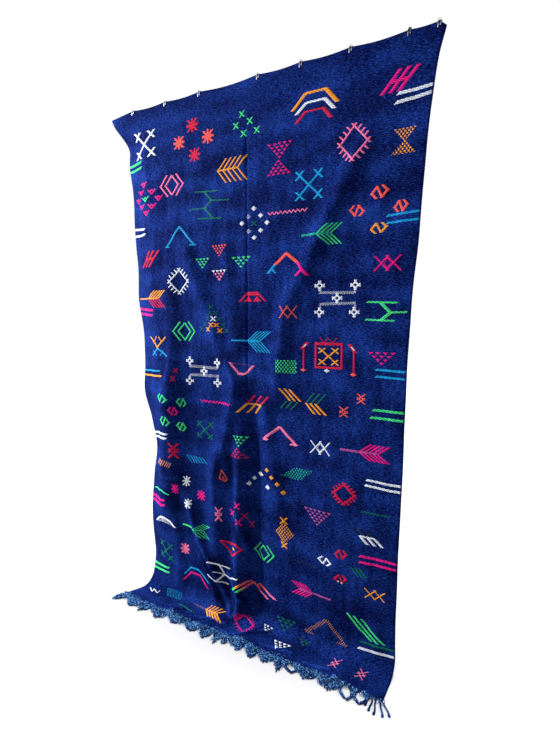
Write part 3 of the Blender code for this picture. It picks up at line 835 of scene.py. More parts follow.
def margin_curl(across, down, left):
    """How far the left margin turns back."""
    share = np.clip((-across / left - 1.0 + CURL_SHARE) / CURL_SHARE, 0.0, 1.0)
    eased = np.where(share < CURL_EASE, share**2 / (2.0 * CURL_EASE), share - CURL_EASE / 2.0)
    return CURL_DEPTH * eased / (1.0 - CURL_EASE / 2.0) * smooth_step(down, TOP_BAND, CURL_FULL_DOWN)


def edge_sag(across):
    """How far the top edge hangs below its clips."""
    sag = LEFT_DROOP * np.maximum(CLIP_PLACES[0] - across, 0.0)
    sag += RIGHT_DROOP * np.maximum(across - CLIP_PLACES[-1], 0.0)
    for start, end in zip(CLIP_PLACES, CLIP_PLACES[1:]):
        share = np.clip((across - start) / (end - start), 0.0, 1.0)
        sag += SAG_PER_METRE * (end - start) * np.sin(math.pi * share)
    return sag


def floor_waves(across):
    """The lift and the forward push of the stretch that lies on the floor."""
    lift = np.zeros_like(across)
    forward = np.zeros_like(across)
    for wave in WAVES:
        shape = bell(across - wave.across, wave.spread)
        lift += wave.lift * shape
        forward += wave.forward * shape
    return lift, forward


def away_from(wrinkle, across, down):
    """How far a place on the cloth is from a wrinkle's line."""
    (x0, t0), (x1, t1) = wrinkle.start, wrinkle.end
    run, fall = x1 - x0, t1 - t0
    share = np.clip(((across - x0) * run + (down - t0) * fall) / (run**2 + fall**2), 0.0, 1.0)
    return np.hypot(across - x0 - share * run, down - t0 - share * fall)


def wrinkle_relief(across, down):
    """How far the narrow wrinkles bring the cloth out."""
    relief = np.zeros_like(across)
    for wrinkle in WRINKLES:
        rise = wrinkle.height * bell(away_from(wrinkle, across, down), wrinkle.spread)
        relief = np.maximum(relief, rise)
    return relief


def wrinkle_painted_light(across, down):
    """How much painted highlight and painted shade the wrinkles give the cloth: above 0 on their crests and
    below 0 beside them.
    """
    painted_light = np.zeros_like(across)
    for wrinkle in WRINKLES:
        away = away_from(wrinkle, across, down)
        # The crest's painted highlight, then the painted shade beside the wrinkle
        rubbed = CREST_PAINTED_HIGHLIGHT * bell(away, CREST_WIDTH * wrinkle.spread)
        kept = bell(away, VALLEY_WIDTH * wrinkle.spread)
        painted_light += (rubbed - kept) * wrinkle.height / TALLEST_WRINKLE
    return painted_light


def fine_relief(across, down):
    """How far the storage crease and the shallow ripples bring the cloth out."""
    relief = -CREASE_DEPTH * bell(across, CREASE_SPREAD)
    relief = relief * smooth_step(down, CREASE_TOP, CREASE_FULL_DOWN)
    for ripple in RIPPLES:
        angle = 2.0 * math.pi * (ripple.across * across + ripple.down * down) + ripple.phase
        relief += ripple.height * np.sin(angle) * smooth_step(down, TOP_BAND, RIPPLES_FULL_DOWN)
    return relief + wrinkle_relief(across, down)


def cloth_point(side, down, relief=0.0):
    """The cloth's middle surface: side runs from -1 at the left selvedge to 1 at the right one."""
    side, down = np.broadcast_arrays(np.asarray(side, float), np.asarray(down, float))
    left, right = half_widths(down)
    across = side * np.where(side < 0.0, left, right)
    straight = FLOOR_DROP - BEND_RADIUS - CLOTH_THICKNESS / 2
    turn = np.clip((down - straight) / BEND_RADIUS, 0.0, math.pi / 2)
    run = np.maximum(down - straight - BEND_RADIUS * math.pi / 2, 0.0)
    on_floor = smooth_step(down, straight, CLOTH_LENGTH - WAVES_FULL_BEFORE)
    lift, forward = floor_waves(across)
    folds = fold_proud(across, down)
    flat = smooth_step(down, straight - CURL_FADE_ABOVE, straight + CURL_FADE_BELOW)
    curl = margin_curl(across, down, left) * (1.0 - flat)
    sag = edge_sag(across) * (1.0 - smooth_step(down, 0.0, SAG_REACH))
    y = -BEND_RADIUS * (1.0 - np.cos(turn)) - run - np.cos(turn) * folds + curl - forward * on_floor
    z = -np.minimum(down, straight) - BEND_RADIUS * np.sin(turn) - sag
    z = z + np.sin(turn) * FOLD_LIFT * np.maximum(folds, 0.0) + lift * on_floor
    if relief:
        fine = relief * fine_relief(across, down)
        y = y - np.cos(turn) * fine
        z = z + np.sin(turn) * np.maximum(fine, 0.0)
    return np.stack([across, y, z], axis=-1)


Cloth = namedtuple("Cloth", "sides downs middle normals")


def hang_cloth():
    """The visible cloth's grid of points down and across, with the way that its face looks."""
    crease = [place / REACHES[0].left for place in CREASE_COLUMNS]
    even = np.linspace(-1.0, 1.0, CLOTH_COLUMNS + 1)
    even = even[np.abs(even) > abs(crease[0])]
    sides = np.sort(np.concatenate([even, crease]))
    hang = np.linspace(0.0, FOOT_FROM, HANG_ROWS, endpoint=False)
    downs = np.concatenate([hang, np.linspace(FOOT_FROM, CLOTH_LENGTH, FOOT_ROWS + 1)])
    middle = cloth_point(sides[None, :], downs[:, None], relief=1.0)
    along = np.gradient(middle, downs, axis=0)
    across = np.gradient(middle, sides, axis=1)
    normals = np.cross(along, across)
    normals /= np.linalg.norm(normals, axis=-1, keepdims=True)
    return Cloth(sides, downs, middle, normals)


def on_cloth(cloth, across, down, proud, outwards=1.0):
    """Points that stand proud of the cloth's face, or of its back where outwards is -1."""
    left, right = half_widths(down)
    side = np.clip(across / np.where(across < 0.0, left, right), -1.0, 1.0)
    column = np.clip(np.searchsorted(cloth.sides, side, side="right") - 1, 0, len(cloth.sides) - 2)
    row = np.clip(np.searchsorted(cloth.downs, down, side="right") - 1, 0, len(cloth.downs) - 2)
    u = ((side - cloth.sides[column]) / (cloth.sides[column + 1] - cloth.sides[column]))[..., None]
    v = ((down - cloth.downs[row]) / (cloth.downs[row + 1] - cloth.downs[row]))[..., None]
    blended = []
    for field in (cloth.middle, cloth.normals):
        upper = field[row, column] * (1.0 - u) + field[row, column + 1] * u
        lower = field[row + 1, column] * (1.0 - u) + field[row + 1, column + 1] * u
        blended.append(upper * (1.0 - v) + lower * v)
    point, normal = blended
    return point + outwards * normal * (CLOTH_THICKNESS / 2 + proud)[..., None]


def map_place(side, down):
    """A place on the cloth as a place on its texture map."""
    return np.stack([side * FLAT_WIDTH / 2 / MAP_WIDTH + 0.5, 1.0 - down / MAP_LENGTH], axis=-1)


def make_piece(name, points, faces, places=None):
    """A mesh object, with a texture map if its points have places on one."""
    mesh = bpy.data.meshes.new(name)
    mesh.from_pydata(points.reshape(-1, 3).tolist(), [], faces)
    if places is not None:
        layer = mesh.uv_layers.new(name="OFBake")
        corners = np.zeros(len(mesh.loops), dtype=np.int64)
        mesh.loops.foreach_get("vertex_index", corners)
        layer.data.foreach_set("uv", places.reshape(-1, 2)[corners].astype(np.float32).ravel())
    mesh.shade_smooth()
    piece = bpy.data.objects.new(name, mesh)
    bpy.context.scene.collection.objects.link(piece)
    return piece


def grid_faces(rows, columns, first=0, flip=False):
    """Four-sided faces over a grid of points, row by row."""
    number = np.arange(rows * columns).reshape(rows, columns) + first
    corners = [number[:-1, :-1], number[1:, :-1], number[1:, 1:], number[:-1, 1:]]
    if flip:
        corners.reverse()
    return np.stack(corners, axis=-1).reshape(-1, 4).tolist()


def make_cloth(cloth, material):
    """The woven sheet: a face, a back and a rim between them."""
    rows, columns = cloth.middle.shape[:2]
    half = cloth.normals * CLOTH_THICKNESS / 2
    points = np.concatenate([(cloth.middle + half).reshape(-1, 3), (cloth.middle - half).reshape(-1, 3)])
    back = rows * columns
    faces = grid_faces(rows, columns) + grid_faces(rows, columns, back, flip=True)
    number = np.arange(back).reshape(rows, columns)
    rim = np.concatenate([number[0], number[1:, -1], number[-1, -2::-1], number[-2:0:-1, 0]])
    for here, beyond in zip(rim, np.roll(rim, -1)):
        faces.append([int(here), int(beyond), int(beyond) + back, int(here) + back])
    side, down = np.meshgrid(cloth.sides, cloth.downs)
    places = np.concatenate([map_place(side, down).reshape(-1, 2)] * 2)
    piece = make_piece("woven_cloth", points, faces, places)
    across = side * np.where(side < 0.0, *half_widths(down))
    # Each point carries the wrinkles' painted highlight and painted shade, for the cloth's colour
    painted_light = piece.data.attributes.new("painted_light", "FLOAT", "POINT")
    painted_light.data.foreach_set("value", np.tile(wrinkle_painted_light(across, down).ravel(), 2).astype(np.float32))
    piece.data.materials.append(material)
    return piece


Shape = namedtuple("Shape", "colour fill corners path width", defaults=((), 0.0))


def stroke(colour, points, width, fill="solid"):
    """A line through the points. Its steep stretches end level, as the rows of weft do."""
    shapes = []
    for (x0, t0), (x1, t1) in zip(points, points[1:]):
        run, fall = x1 - x0, t1 - t0
        length = math.hypot(run, fall)
        past = STROKE_OVERRUN * width
        x0, x1 = x0 - past * run / length, x1 + past * run / length
        t0, t1 = t0 - past * fall / length, t1 + past * fall / length
        if fall == 0.0:
            half = width / 2
            corners = [(x0, t0 - half), (x1, t0 - half), (x1, t0 + half), (x0, t0 + half)]
            shapes.append(Shape(colour, fill, corners))
        elif abs(fall) < LEVEL_LEAN * abs(run):
            shapes.append(Shape(colour, fill, [], ((x0, t0), (x1, t1)), width))
        else:
            half = width / 2 * length / abs(fall)
            corners = [(x0 - half, t0), (x0 + half, t0), (x1 + half, t1), (x1 - half, t1)]
            shapes.append(Shape(colour, fill, corners))
    return shapes


def chart_place(motif, u, v):
    """A place in the motif's own square, from -1 to 1 either way, on the chart."""
    return motif.across + u * motif.wide / 2, motif.down + v * motif.tall / 2


def strokes(motif, paths, colour=None, width=None):
    """Strokes along paths in the motif's own square."""
    shapes = []
    for path in paths:
        points = [chart_place(motif, u, v) for u, v in path]
        shapes += stroke(colour or motif.colour, points, width or motif.line)
    return shapes


# The corners of a lashed diamond, and the bar of a comb and the inner diamond of a double cross against the
# width of their other lines
LASHED_REACH = 0.76
COMB_BAR = 0.75
INNER_LINE = 0.5

# A rosette, in centimetres: its ring, the width of its line, and the size of its knobs. They are small
# diamonds in pairs, which stand beyond each corner of the ring and to either side of it.
ROSETTE_RING = ((0.0, -1.1), (1.3, 0.0), (0.0, 1.1), (-1.3, 0.0), (0.0, -1.1))
ROSETTE_LINE = 0.7
ROSETTE_KNOB = (1.0, 0.9)
KNOB_BEYOND = 1.45
KNOB_ASIDE = 0.28

# The crosses in a framed square: the width of their lines, and their width and height
FRAMED_LINE = 0.6
FRAMED_CROSS = (2.6, 1.9)


def lashed_outline(colour, width, corners, count):
    """An outline through four corners, with short lashes on its outside."""
    middle_x = sum(x for x, _ in corners) / 4
    middle_t = sum(t for _, t in corners) / 4
    shapes = []
    for (x0, t0), (x1, t1) in zip(corners, corners[1:] + corners[:1]):
        step_x, step_t = x1 - x0, t1 - t0
        first = (x0 - OVERRUN * step_x, t0 - OVERRUN * step_t)
        last = (x1 + OVERRUN * step_x, t1 + OVERRUN * step_t)
        shapes += stroke(colour, [first, last], width)
        out_x = LASH_SHARE * ((x0 + x1) / 2 - middle_x)
        out_t = LASH_SHARE * ((t0 + t1) / 2 - middle_t)
        for lash in range(count):
            share = (lash + 1) / (count + 1)
            foot = (x0 + step_x * share, t0 + step_t * share)
            shapes += stroke(colour, [foot, (foot[0] + out_x, foot[1] + out_t)], width)
    return shapes


def lashed_diamond(motif):
    """A diamond in outline, with lashes."""
    reach = LASHED_REACH
    places = ((-reach, 0.0), (0.0, -reach), (reach, 0.0), (0.0, reach))
    corners = [chart_place(motif, u, v) for u, v in places]
    return lashed_outline(motif.colour, motif.line, corners, motif.count)


def comb(motif):
    """Slanted lines joined by a bar half way down, in one colour above it and another below."""
    step = 1.0 / (motif.count - 1)
    shapes = []
    for number in range(motif.count):
        foot = -1.0 + number * step
        shapes += strokes(motif, [[(foot + 0.5, 0.0), (foot + 1.0, -1.0)]])
        shapes += strokes(motif, [[(foot, 1.0), (foot + 0.5, 0.0)]], motif.other)
    return shapes + strokes(motif, [[(-0.5, 0.0), (0.5, 0.0)]], motif.other, COMB_BAR * motif.line)


def double_cross(motif):
    """Two crosses side by side. A second colour sets a thin diamond between them."""
    first = [[(-1.0, -1.0), (0.06, 1.0)], [(-1.0, 1.0), (0.06, -1.0)]]
    second = [[(-0.06, -1.0), (1.0, 1.0)], [(-0.06, 1.0), (1.0, -1.0)]]
    shapes = strokes(motif, first + second)
    if motif.other:
        inner = [(0.0, -0.66), (0.28, 0.0), (0.0, 0.66), (-0.28, 0.0), (0.0, -0.66)]
        shapes += strokes(motif, [inner], motif.other, INNER_LINE * motif.line)
    return shapes


def rosette(motif, u, v):
    """A small ring with four knobs."""
    across, down = chart_place(motif, u, v)
    shapes = stroke(motif.colour, [(across + x, down + t) for x, t in ROSETTE_RING], ROSETTE_LINE)
    for x, t in ROSETTE_RING[:4]:
        for aside in (KNOB_ASIDE, -KNOB_ASIDE):
            place = (across + KNOB_BEYOND * x - aside * t, down + KNOB_BEYOND * t + aside * x)
            shapes.append(diamond(motif.colour, "solid", *place, *ROSETTE_KNOB))
    return shapes


def barbell(motif):
    """Two level bars with a rosette at each end and one between them."""
    shapes = []
    for u, v in ((-0.78, -0.66), (0.78, -0.64), (0.0, 0.0), (-0.80, 0.72), (0.74, 0.72)):
        shapes += rosette(motif, u, v)
    for level in (-1.0, 1.0):
        bar = ((-0.78, 0.52), (-0.76, 0.30), (0.76, 0.26), (0.78, 0.50))
        points = [chart_place(motif, u, v * level) for u, v in bar]
        shapes += stroke(motif.colour, points, motif.line, "hatched")
    return shapes


def framed_square(motif):
    """A square frame round a group of crosses."""
    frame = [(-0.92, -0.92), (0.92, -0.92), (0.92, 0.92), (-0.92, 0.92), (-0.92, -0.92)]
    shapes = strokes(motif, [frame])
    for u, v in ((-0.46, -0.40), (-0.46, 0.48), (0.0, 0.04), (0.46, -0.40), (0.46, 0.48)):
        shapes += cross(motif.other, FRAMED_LINE, *chart_place(motif, u, v), *FRAMED_CROSS)
    return shapes


def zigzag(motif):
    """A line that runs up and down between two levels."""
    points = []
    for number in range(2 * motif.count + 1):
        points.append((-1.0 + number / motif.count, -1.0 if number % 2 == 0 else 1.0))
    return strokes(motif, [points])


def tent(motif):
    """A flat-topped tent with two small triangles under it."""
    roof = [(-0.5, -1.0), (0.42, -1.0), (0.62, -0.2), (-0.62, -0.2)]
    shapes = [Shape(motif.colour, "solid", [chart_place(motif, u, v) for u, v in roof])]
    shapes += strokes(motif, [[(-0.55, -0.4), (-1.0, 1.0)], [(0.55, -0.4), (1.0, 1.0)]])
    for middle in (-0.34, 0.34):
        small = [(middle, -0.2), (middle + 0.34, 1.0), (middle - 0.34, 1.0)]
        shapes.append(Shape(motif.colour, "solid", [chart_place(motif, u, v) for u, v in small]))
    return shapes


# The paths of the motifs that are plain strokes, in their own square from -1 to 1 either way
STROKE_MOTIFS = {
    "ended_cross": (
        ((-1.0, -1.0), (1.0, 1.0)),
        ((-1.0, 1.0), (1.0, -1.0)),
        ((-1.0, -0.42), (-0.42, -1.0)),
        ((-1.0, 0.42), (-0.42, 1.0)),
        ((1.0, -0.42), (0.42, -1.0)),
        ((1.0, 0.42), (0.42, 1.0)),
    ),
    "star": (
        ((-1.0, 0.0), (1.0, 0.0)),
        ((0.0, -1.0), (0.0, 1.0)),
        ((-0.74, -0.84), (0.74, 0.84)),
        ((-0.74, 0.84), (0.74, -0.84)),
    ),
    "double_diamond": (
        ((0.0, -0.92), (0.56, 0.0), (0.0, 0.92), (-0.56, 0.0), (0.0, -0.92)),
        ((-0.40, -1.0), (-1.0, 0.0), (-0.40, 1.0)),
        ((0.40, -1.0), (1.0, 0.0), (0.40, 1.0)),
    ),
    "notched_triangle": (
        ((-0.9, -0.8), (0.0, 0.9), (0.9, -0.8)),
        ((-0.42, -0.1), (0.0, -0.75), (0.42, -0.1)),
    ),
    "knotted_cross": (
        ((-0.75, -1.0), (0.70, 0.20)),
        ((0.75, -1.0), (-0.70, 0.20)),
        ((-0.75, 1.0), (0.70, -0.20)),
        ((0.75, 1.0), (-0.70, -0.20)),
    ),
    "s_shape": (
        ((-0.45, 1.0), (-1.0, 0.2), (-0.3, -0.9), (0.3, 0.9), (1.0, -0.2), (0.45, -1.0)),
    ),
    "leaf": (
        ((0.0, -1.0), (-0.85, 0.45), (-0.3, 0.7), (0.3, 1.0), (0.95, 0.6), (0.0, -1.0)),
        ((0.0, 0.1), (0.2, 0.7)),
    ),
}

# The other motifs, by the function that charts them
CHARTED_MOTIFS = {
    "lashed_diamond": lashed_diamond,
    "comb": comb,
    "double_cross": double_cross,
    "barbell": barbell,
    "framed_square": framed_square,
    "zigzag": zigzag,
    "tent": tent,
}


def arrow(row):
    """A shaft, an axis and the barbs that open from it on both sides."""
    last = row.tip - row.reach
    shapes = []
    if row.tail != row.head:
        shapes += stroke(row.shaft, [(row.tail, row.axis), (row.head, row.axis)], row.thick)
    for number in range(row.barbs):
        apex = row.head + (last - row.head) * number / (row.barbs - 1)
        shapes += stroke(row.upper, [(apex, row.axis), (apex + row.reach, row.top)], row.line)
        shapes += stroke(row.lower, [(apex, row.axis), (apex + row.reach, row.bottom)], row.line)
    return shapes + stroke(row.shaft, [(row.head, row.axis), (last, row.axis)], AXIS_WIDTH)


def triangle_rows(row):
    """Rows of small triangles, one fewer in each."""
    width = (row.right - row.left) / row.count
    height = (row.tip - row.top) / row.count
    shapes = []
    for line in range(row.count):
        colour = row.first if line == 0 and row.first else row.colour
        for item in range(row.count - line):
            left = row.left + width * (item + line / 2)
            top = row.top + height * line
            x, t = left + width / 2, top + height / 3
            small = []
            for corner_x, corner_t in ((left, top), (left + width, top), (x, top + height)):
                small.append((x + TRIANGLE_WIDTH * (corner_x - x), t + TRIANGLE_HEIGHT * (corner_t - t)))
            shapes.append(Shape(colour, "solid", small))
    return shapes


def cross(colour, line, across, down, wide, tall):
    """A small cross."""
    u, v = wide / 2, tall / 2
    shapes = stroke(colour, [(across - u, down - v), (across + u, down + v)], line)
    return shapes + stroke(colour, [(across - u, down + v), (across + u, down - v)], line)


def diamond(colour, fill, across, down, wide, tall):
    """A small filled diamond."""
    u, v = wide / 2, tall / 2
    corners = [(across, down - v), (across + u, down), (across, down + v), (across - u, down)]
    return Shape(colour, fill, corners)


def motif_shapes():
    """The shapes of the motifs, kind by kind."""
    shapes = []
    for kind, motifs in MOTIFS.items():
        for motif in motifs:
            if kind in STROKE_MOTIFS:
                shapes += strokes(motif, STROKE_MOTIFS[kind])
            else:
                shapes += CHARTED_MOTIFS[kind](motif)
    return shapes


def chart_shapes():
    """Every shape of the ornament, in the order in which it is laid."""
    shapes = []
    for lines in STRIPES + LINES:
        for points in lines.items:
            shapes += stroke(lines.colour, points, lines.width, lines.fill)
    shapes += motif_shapes()
    for row in ASKEW_DIAMONDS:
        shapes += lashed_outline(row.colour, row.line, list(row.corners), row.count)
    for row in ARROWS:
        shapes += arrow(row)
    for row in TRIANGLES:
        shapes += triangle_rows(row)
    for crosses in CROSSES:
        for item in crosses.items:
            shapes += cross(crosses.colour, crosses.width, *item)
    for dots in DOTS:
        shapes += [diamond(dots.colour, dots.fill, *item) for item in dots.items]
    return shapes + [Shape(*row) for row in PATCHES]


def row_span(corners, down):
    """Where a shape without hollows meets one row of weft."""
    hits = []
    for (x0, t0), (x1, t1) in zip(corners, corners[1:] + corners[:1]):
        if (t0 <= down) != (t1 <= down):
            hits.append(x0 + (x1 - x0) * (down - t0) / (t1 - t0))
    return (min(hits), max(hits)) if hits else None


def fill_runs(start, end, row, fill):
    """The parts of a run that carry thread."""
    if fill is None:
        return [(start, end)]
    band, line = divmod(row, fill.rows + fill.bare)
    if line >= fill.rows:
        return []
    pitch = fill.dash + fill.gap
    place = (band * fill.shift) % pitch + pitch * math.floor(start / pitch - 1.0)
    runs = []
    while place < end:
        run = (max(start, place), min(end, place + fill.dash))
        if run[1] - run[0] > SHORTEST_FLOAT:
            runs.append(run)
        place += pitch
    return runs


def lay_run(laid, start, end, colour):
    """Lays a run of thread in a row, in place of what was there."""
    kept = []
    for first, last, other in laid:
        if last <= start or first >= end:
            kept.append((first, last, other))
            continue
        if first < start:
            kept.append((first, start, other))
        if last > end:
            kept.append((end, last, other))
    return kept + [(start, end, colour)]


def joined_runs(laid):
    """The runs of a row in order, with those of one colour that touch made into one."""
    joined = []
    for start, end, colour in sorted(laid):
        if joined and joined[-1][2] == colour and start - joined[-1][1] < JOINED_GAP:
            joined[-1] = (joined[-1][0], end, colour)
        elif end - start > SHORTEST_FLOAT / 2:
            joined.append((start, max(end, start + SHORTEST_FLOAT), colour))
    return joined


def tied_floats(start, end, row):
    """A run cut into floats where it is tied down, with the ties stepped from row to row."""
    place = FLOAT_LENGTH * (math.floor(start / FLOAT_LENGTH) + (row % 3) / 3)
    cuts = [start]
    while place < end - SHORTEST_FLOAT:
        if place > start + SHORTEST_FLOAT:
            cuts.append(place)
        place += FLOAT_LENGTH
    return list(zip(cuts, cuts[1:] + [end]))


def bounds_across(down):
    """Where the ornament stops at the left and at the right in one row."""
    left, right = half_widths(down)
    return SELVEDGE_MARGIN - float(left), float(right) - SELVEDGE_MARGIN


def clip_float(x0, t0, x1, t1):
    """A float cut off at the selvedges, or none if it lies past one."""
    for end, (x, t, other_x, other_t) in enumerate(((x0, t0, x1, t1), (x1, t1, x0, t0))):
        lowest, highest = bounds_across(t)
        limit = min(max(x, lowest), highest)
        if limit == x:
            continue
        share = (limit - x) / (other_x - x)
        if share >= 1.0:
            return None
        t += share * (other_t - t)
        x0, t0, x1, t1 = (limit, t, x1, t1) if end == 0 else (x0, t0, limit, t)
    return (x0, t0, x1, t1) if abs(x1 - x0) > SHORTEST_FLOAT else None


def follow_path(shape):
    """The floats of a stroke that is woven along its own line."""
    (x0, t0), (x1, t1) = [(x / PER_METRE, t / PER_METRE) for x, t in shape.path]
    length = math.hypot(x1 - x0, t1 - t0)
    run, fall = (x1 - x0) / length, (t1 - t0) / length
    forward = math.copysign(1.0, run)
    width = shape.width / PER_METRE
    rows = max(1, round(width / ROW_PITCH))
    floats = []
    for row in range(rows):
        offset = (row + 0.5) * width / rows - width / 2
        slide = -END_SLANT * offset * forward
        row_x = x0 - fall * offset * forward
        row_t = t0 + run * offset * forward
        for start, end in fill_runs(slide, length + slide, row, FILLS[shape.fill]):
            for first, last in tied_floats(start, end, row):
                ends = (row_x + run * first, row_t + fall * first, row_x + run * last, row_t + fall * last)
                clipped = clip_float(*ends)
                if clipped:
                    floats.append(clipped)
    return floats


def fill_rows(rows, shape):
    """Lays a filled shape in the rows of weft that it crosses."""
    corners = [(x / PER_METRE, t / PER_METRE) for x, t in shape.corners]
    downs = [t for _, t in corners]
    for row in range(math.floor(min(downs) / ROW_PITCH), math.ceil(max(downs) / ROW_PITCH)):
        down = (row + 0.5) * ROW_PITCH
        span = row_span(corners, down)
        if span is None:
            continue
        lowest, highest = bounds_across(down)
        start, end = max(span[0], lowest), min(span[1], highest)
        if end > start:
            for run in fill_runs(start, end, row, FILLS[shape.fill]):
                rows[row] = lay_run(rows.get(row, []), *run, shape.colour)


def weave_chart():
    """The floats of each colour, as rows of start across and down, and end across and down, in metres."""
    rows, floats = {}, {}
    for shape in chart_shapes():
        if shape.path:
            floats.setdefault(shape.colour, []).extend(follow_path(shape))
        else:
            fill_rows(rows, shape)
    for row, laid in sorted(rows.items()):
        down = (row + 0.5) * ROW_PITCH
        for start, end, colour in joined_runs(laid):
            for first, last in tied_floats(start, end, row):
                floats.setdefault(colour, []).append((first, down, last, down))
    return {colour: np.array(found) for colour, found in floats.items()}


def float_faces(count, rings, corners):
    """The faces of each float: a tip, its rings and another tip."""
    single = []
    last = 1 + rings * corners
    for corner in range(corners):
        beyond = (corner + 1) % corners
        single.append([0, 1 + corner, 1 + beyond])
        for here in range(1, last - corners, corners):
            far = here + corners
            single.append([here + corner, far + corner, far + beyond, here + beyond])
        single.append([last - corners + corner, last, last - corners + beyond])
    size = last + 1
    return [[vertex + number * size for vertex in face] for number in range(count) for face in single]


def float_points(cloth, floats, proud, rings, outwards=1.0):
    """The points of each float and their places on the texture map. With two rings it has no middle one."""
    x0, t0, x1, t1 = floats.T
    length = np.hypot(x1 - x0, t1 - t0)
    run, fall = (x1 - x0) / length, (t1 - t0) / length
    taper = np.minimum(FLOAT_TAPER, LONGEST_TAPER * length) / length
    ring_shares = [(taper, SHOULDER), (np.full_like(taper, 0.5), 1.0), (1.0 - taper, SHOULDER)]
    if rings == TIE_RINGS:
        del ring_shares[1]
    stations = [(np.zeros_like(taper), 0.0, -1.0)]
    for share, rise in ring_shares:
        stations += [(share, step, level * rise) for step, level in FLOAT_RING]
    stations.append((np.ones_like(taper), 0.0, -1.0))
    points, places = [], []
    for share, step, level in stations:
        across = x0 + (x1 - x0) * share - fall * step * ROW_PITCH / 2
        down = t0 + (t1 - t0) * share + run * step * ROW_PITCH / 2
        height = np.zeros_like(share) + (proud if level > 0.0 else FLOAT_SINK) * level
        points.append(on_cloth(cloth, across, down, height, outwards))
        left, right = half_widths(down)
        places.append(map_place(across / np.where(across < 0.0, left, right), down))
    return np.stack(points, axis=1), np.stack(places, axis=1)


def tie_floats(floats):
    """The short ties at the start of each float, as they show on the back."""
    x0, t0, x1, t1 = floats.T
    length = np.hypot(x1 - x0, t1 - t0)
    share = np.minimum(TIE_LENGTH / length, LONGEST_TIE)
    return np.stack([x0, t0, x0 + (x1 - x0) * share, t0 + (t1 - t0) * share], axis=-1)


def make_floats(cloth, colour, floats, material):
    """The ornament's thread of one colour: padded floats on the face, and their ties on the back."""
    x0, t0 = floats[:, 0], floats[:, 1]
    proud = FLOAT_PROUD * (1.0 + UNEVEN_HEIGHT * np.sin(UNEVEN_ACROSS * x0 + UNEVEN_DOWN * t0))
    points, places = float_points(cloth, floats, proud, FLOAT_RINGS)
    ties = tie_floats(floats)[::2]
    back, back_places = float_points(cloth, ties, TIE_PROUD, TIE_RINGS, outwards=-1.0)
    faces = float_faces(len(points), FLOAT_RINGS, len(FLOAT_RING))
    first = points.shape[0] * points.shape[1]
    for face in float_faces(len(back), TIE_RINGS, len(FLOAT_RING)):
        faces.append([vertex + first for vertex in reversed(face)])
    every_point = np.concatenate([points.reshape(-1, 3), back.reshape(-1, 3)])
    every_place = np.concatenate([places.reshape(-1, 2), back_places.reshape(-1, 2)])
    piece = make_piece(f"thread_{colour}", every_point, faces, every_place)
    piece.data.materials.append(material)
    return piece


def tube_points(path, radius, sides, up=UP):
    """Rings of points round a path. radius is one value, or one for each point of the path."""
    along = np.gradient(path, axis=0)
    along /= np.linalg.norm(along, axis=1, keepdims=True) + 1e-12
    side = np.cross(along, np.array(up))
    side /= np.linalg.norm(side, axis=1, keepdims=True) + 1e-12
    over = np.cross(side, along)
    turns = np.linspace(0.0, 2.0 * math.pi, sides, endpoint=False)
    radius = np.broadcast_to(radius, len(path))[:, None, None]
    ring = np.cos(turns)[None, :, None] * side[:, None] + np.sin(turns)[None, :, None] * over[:, None]
    return path[:, None] + radius * ring


def tube_faces(steps, sides, first):
    """The faces of a tube with closed ends."""
    faces = []
    for step in range(steps - 1):
        for corner in range(sides):
            beyond = (corner + 1) % sides
            here = first + step * sides
            faces.append([here + corner, here + sides + corner, here + sides + beyond, here + beyond])
    faces.append([first + corner for corner in range(sides)])
    faces.append([first + (steps - 1) * sides + corner for corner in reversed(range(sides))])
    return faces


def make_tubes(name, tubes, sides, material):
    """One object of many tubes, each given as its path and its radius."""
    points, faces = [], []
    count = 0
    for path, radius in tubes:
        points.append(tube_points(path, radius, sides).reshape(-1, 3))
        faces += tube_faces(len(path), sides, count)
        count += len(path) * sides
    piece = make_piece(name, np.concatenate(points), faces)
    piece.data.materials.append(material)
    return piece


def make_selvedges(material):
    """The bumpy edges where the weft turns back."""
    downs = np.linspace(SELVEDGE_TOP, CLOTH_LENGTH - SELVEDGE_FOOT, SELVEDGE_STEPS)
    turns = np.linspace(0.0, 2.0 * math.pi * SELVEDGE_BUMPS, SELVEDGE_STEPS)
    bumps = SELVEDGE_RADIUS + SELVEDGE_BUMP * np.cos(turns)
    tubes = [(cloth_point(np.full_like(downs, side), downs, relief=1.0), bumps) for side in (-1.0, 1.0)]
    return make_tubes("selvedges", tubes, SELVEDGE_SIDES, material)


def hem_point(across):
    """A point on the hem's middle line."""
    left, right = half_widths(CLOTH_LENGTH)
    side = across / float(left if across < 0.0 else right)
    return cloth_point(np.array([min(max(side, -1.0), 1.0)]), CLOTH_LENGTH)[0]


def cord_path(root, tip, bow, raised, phase, turn):
    """One ply of a cord, from the hem to its tassel's tip, lying down on the floor as it goes."""
    share = np.linspace(0.0, 1.0, CORD_STEPS)
    path = root[None, :] + (tip - root)[None, :] * share[:, None]
    hump = np.sin(math.pi * share)
    twist = 2.0 * math.pi * share * np.linalg.norm(tip - root) / TWIST_LENGTH + turn
    wander = WANDER * hump * np.sin(WANDER_TURN * share + phase)
    path[:, 0] += bow * hump + wander + PLY_RADIUS * np.cos(twist)
    rest = FLOOR_LEVEL + YARN_RADIUS + PLY_RADIUS
    path[:, 2] = root[2] + (rest - root[2]) * smooth_step(share, 0.0, LIES_FROM) + raised * hump
    path[:, 2] += PLY_RADIUS * np.sin(twist)
    path[:, 2] = np.maximum(path[:, 2], FLOOR_LEVEL + YARN_RADIUS)
    return path


def lay_cord(tubes, root, tip, bow, raised, rng, thickness=1.0, knob=CORD_KNOB):
    """Lays the two plies of a cord, with a knob near its tip."""
    share = np.linspace(0.0, 1.0, CORD_STEPS)
    swell = 1.0 + knob * smooth_step(share, *KNOB_SHARES)
    radius = thickness * YARN_RADIUS * (swell - (TIP_THINNING + knob) * smooth_step(share, *TIP_SHARES))
    phase = rng.uniform(0.0, 2.0 * math.pi)
    for turn in (0.0, math.pi):
        tubes.append((cord_path(root, tip, bow, raised, phase, turn), radius))


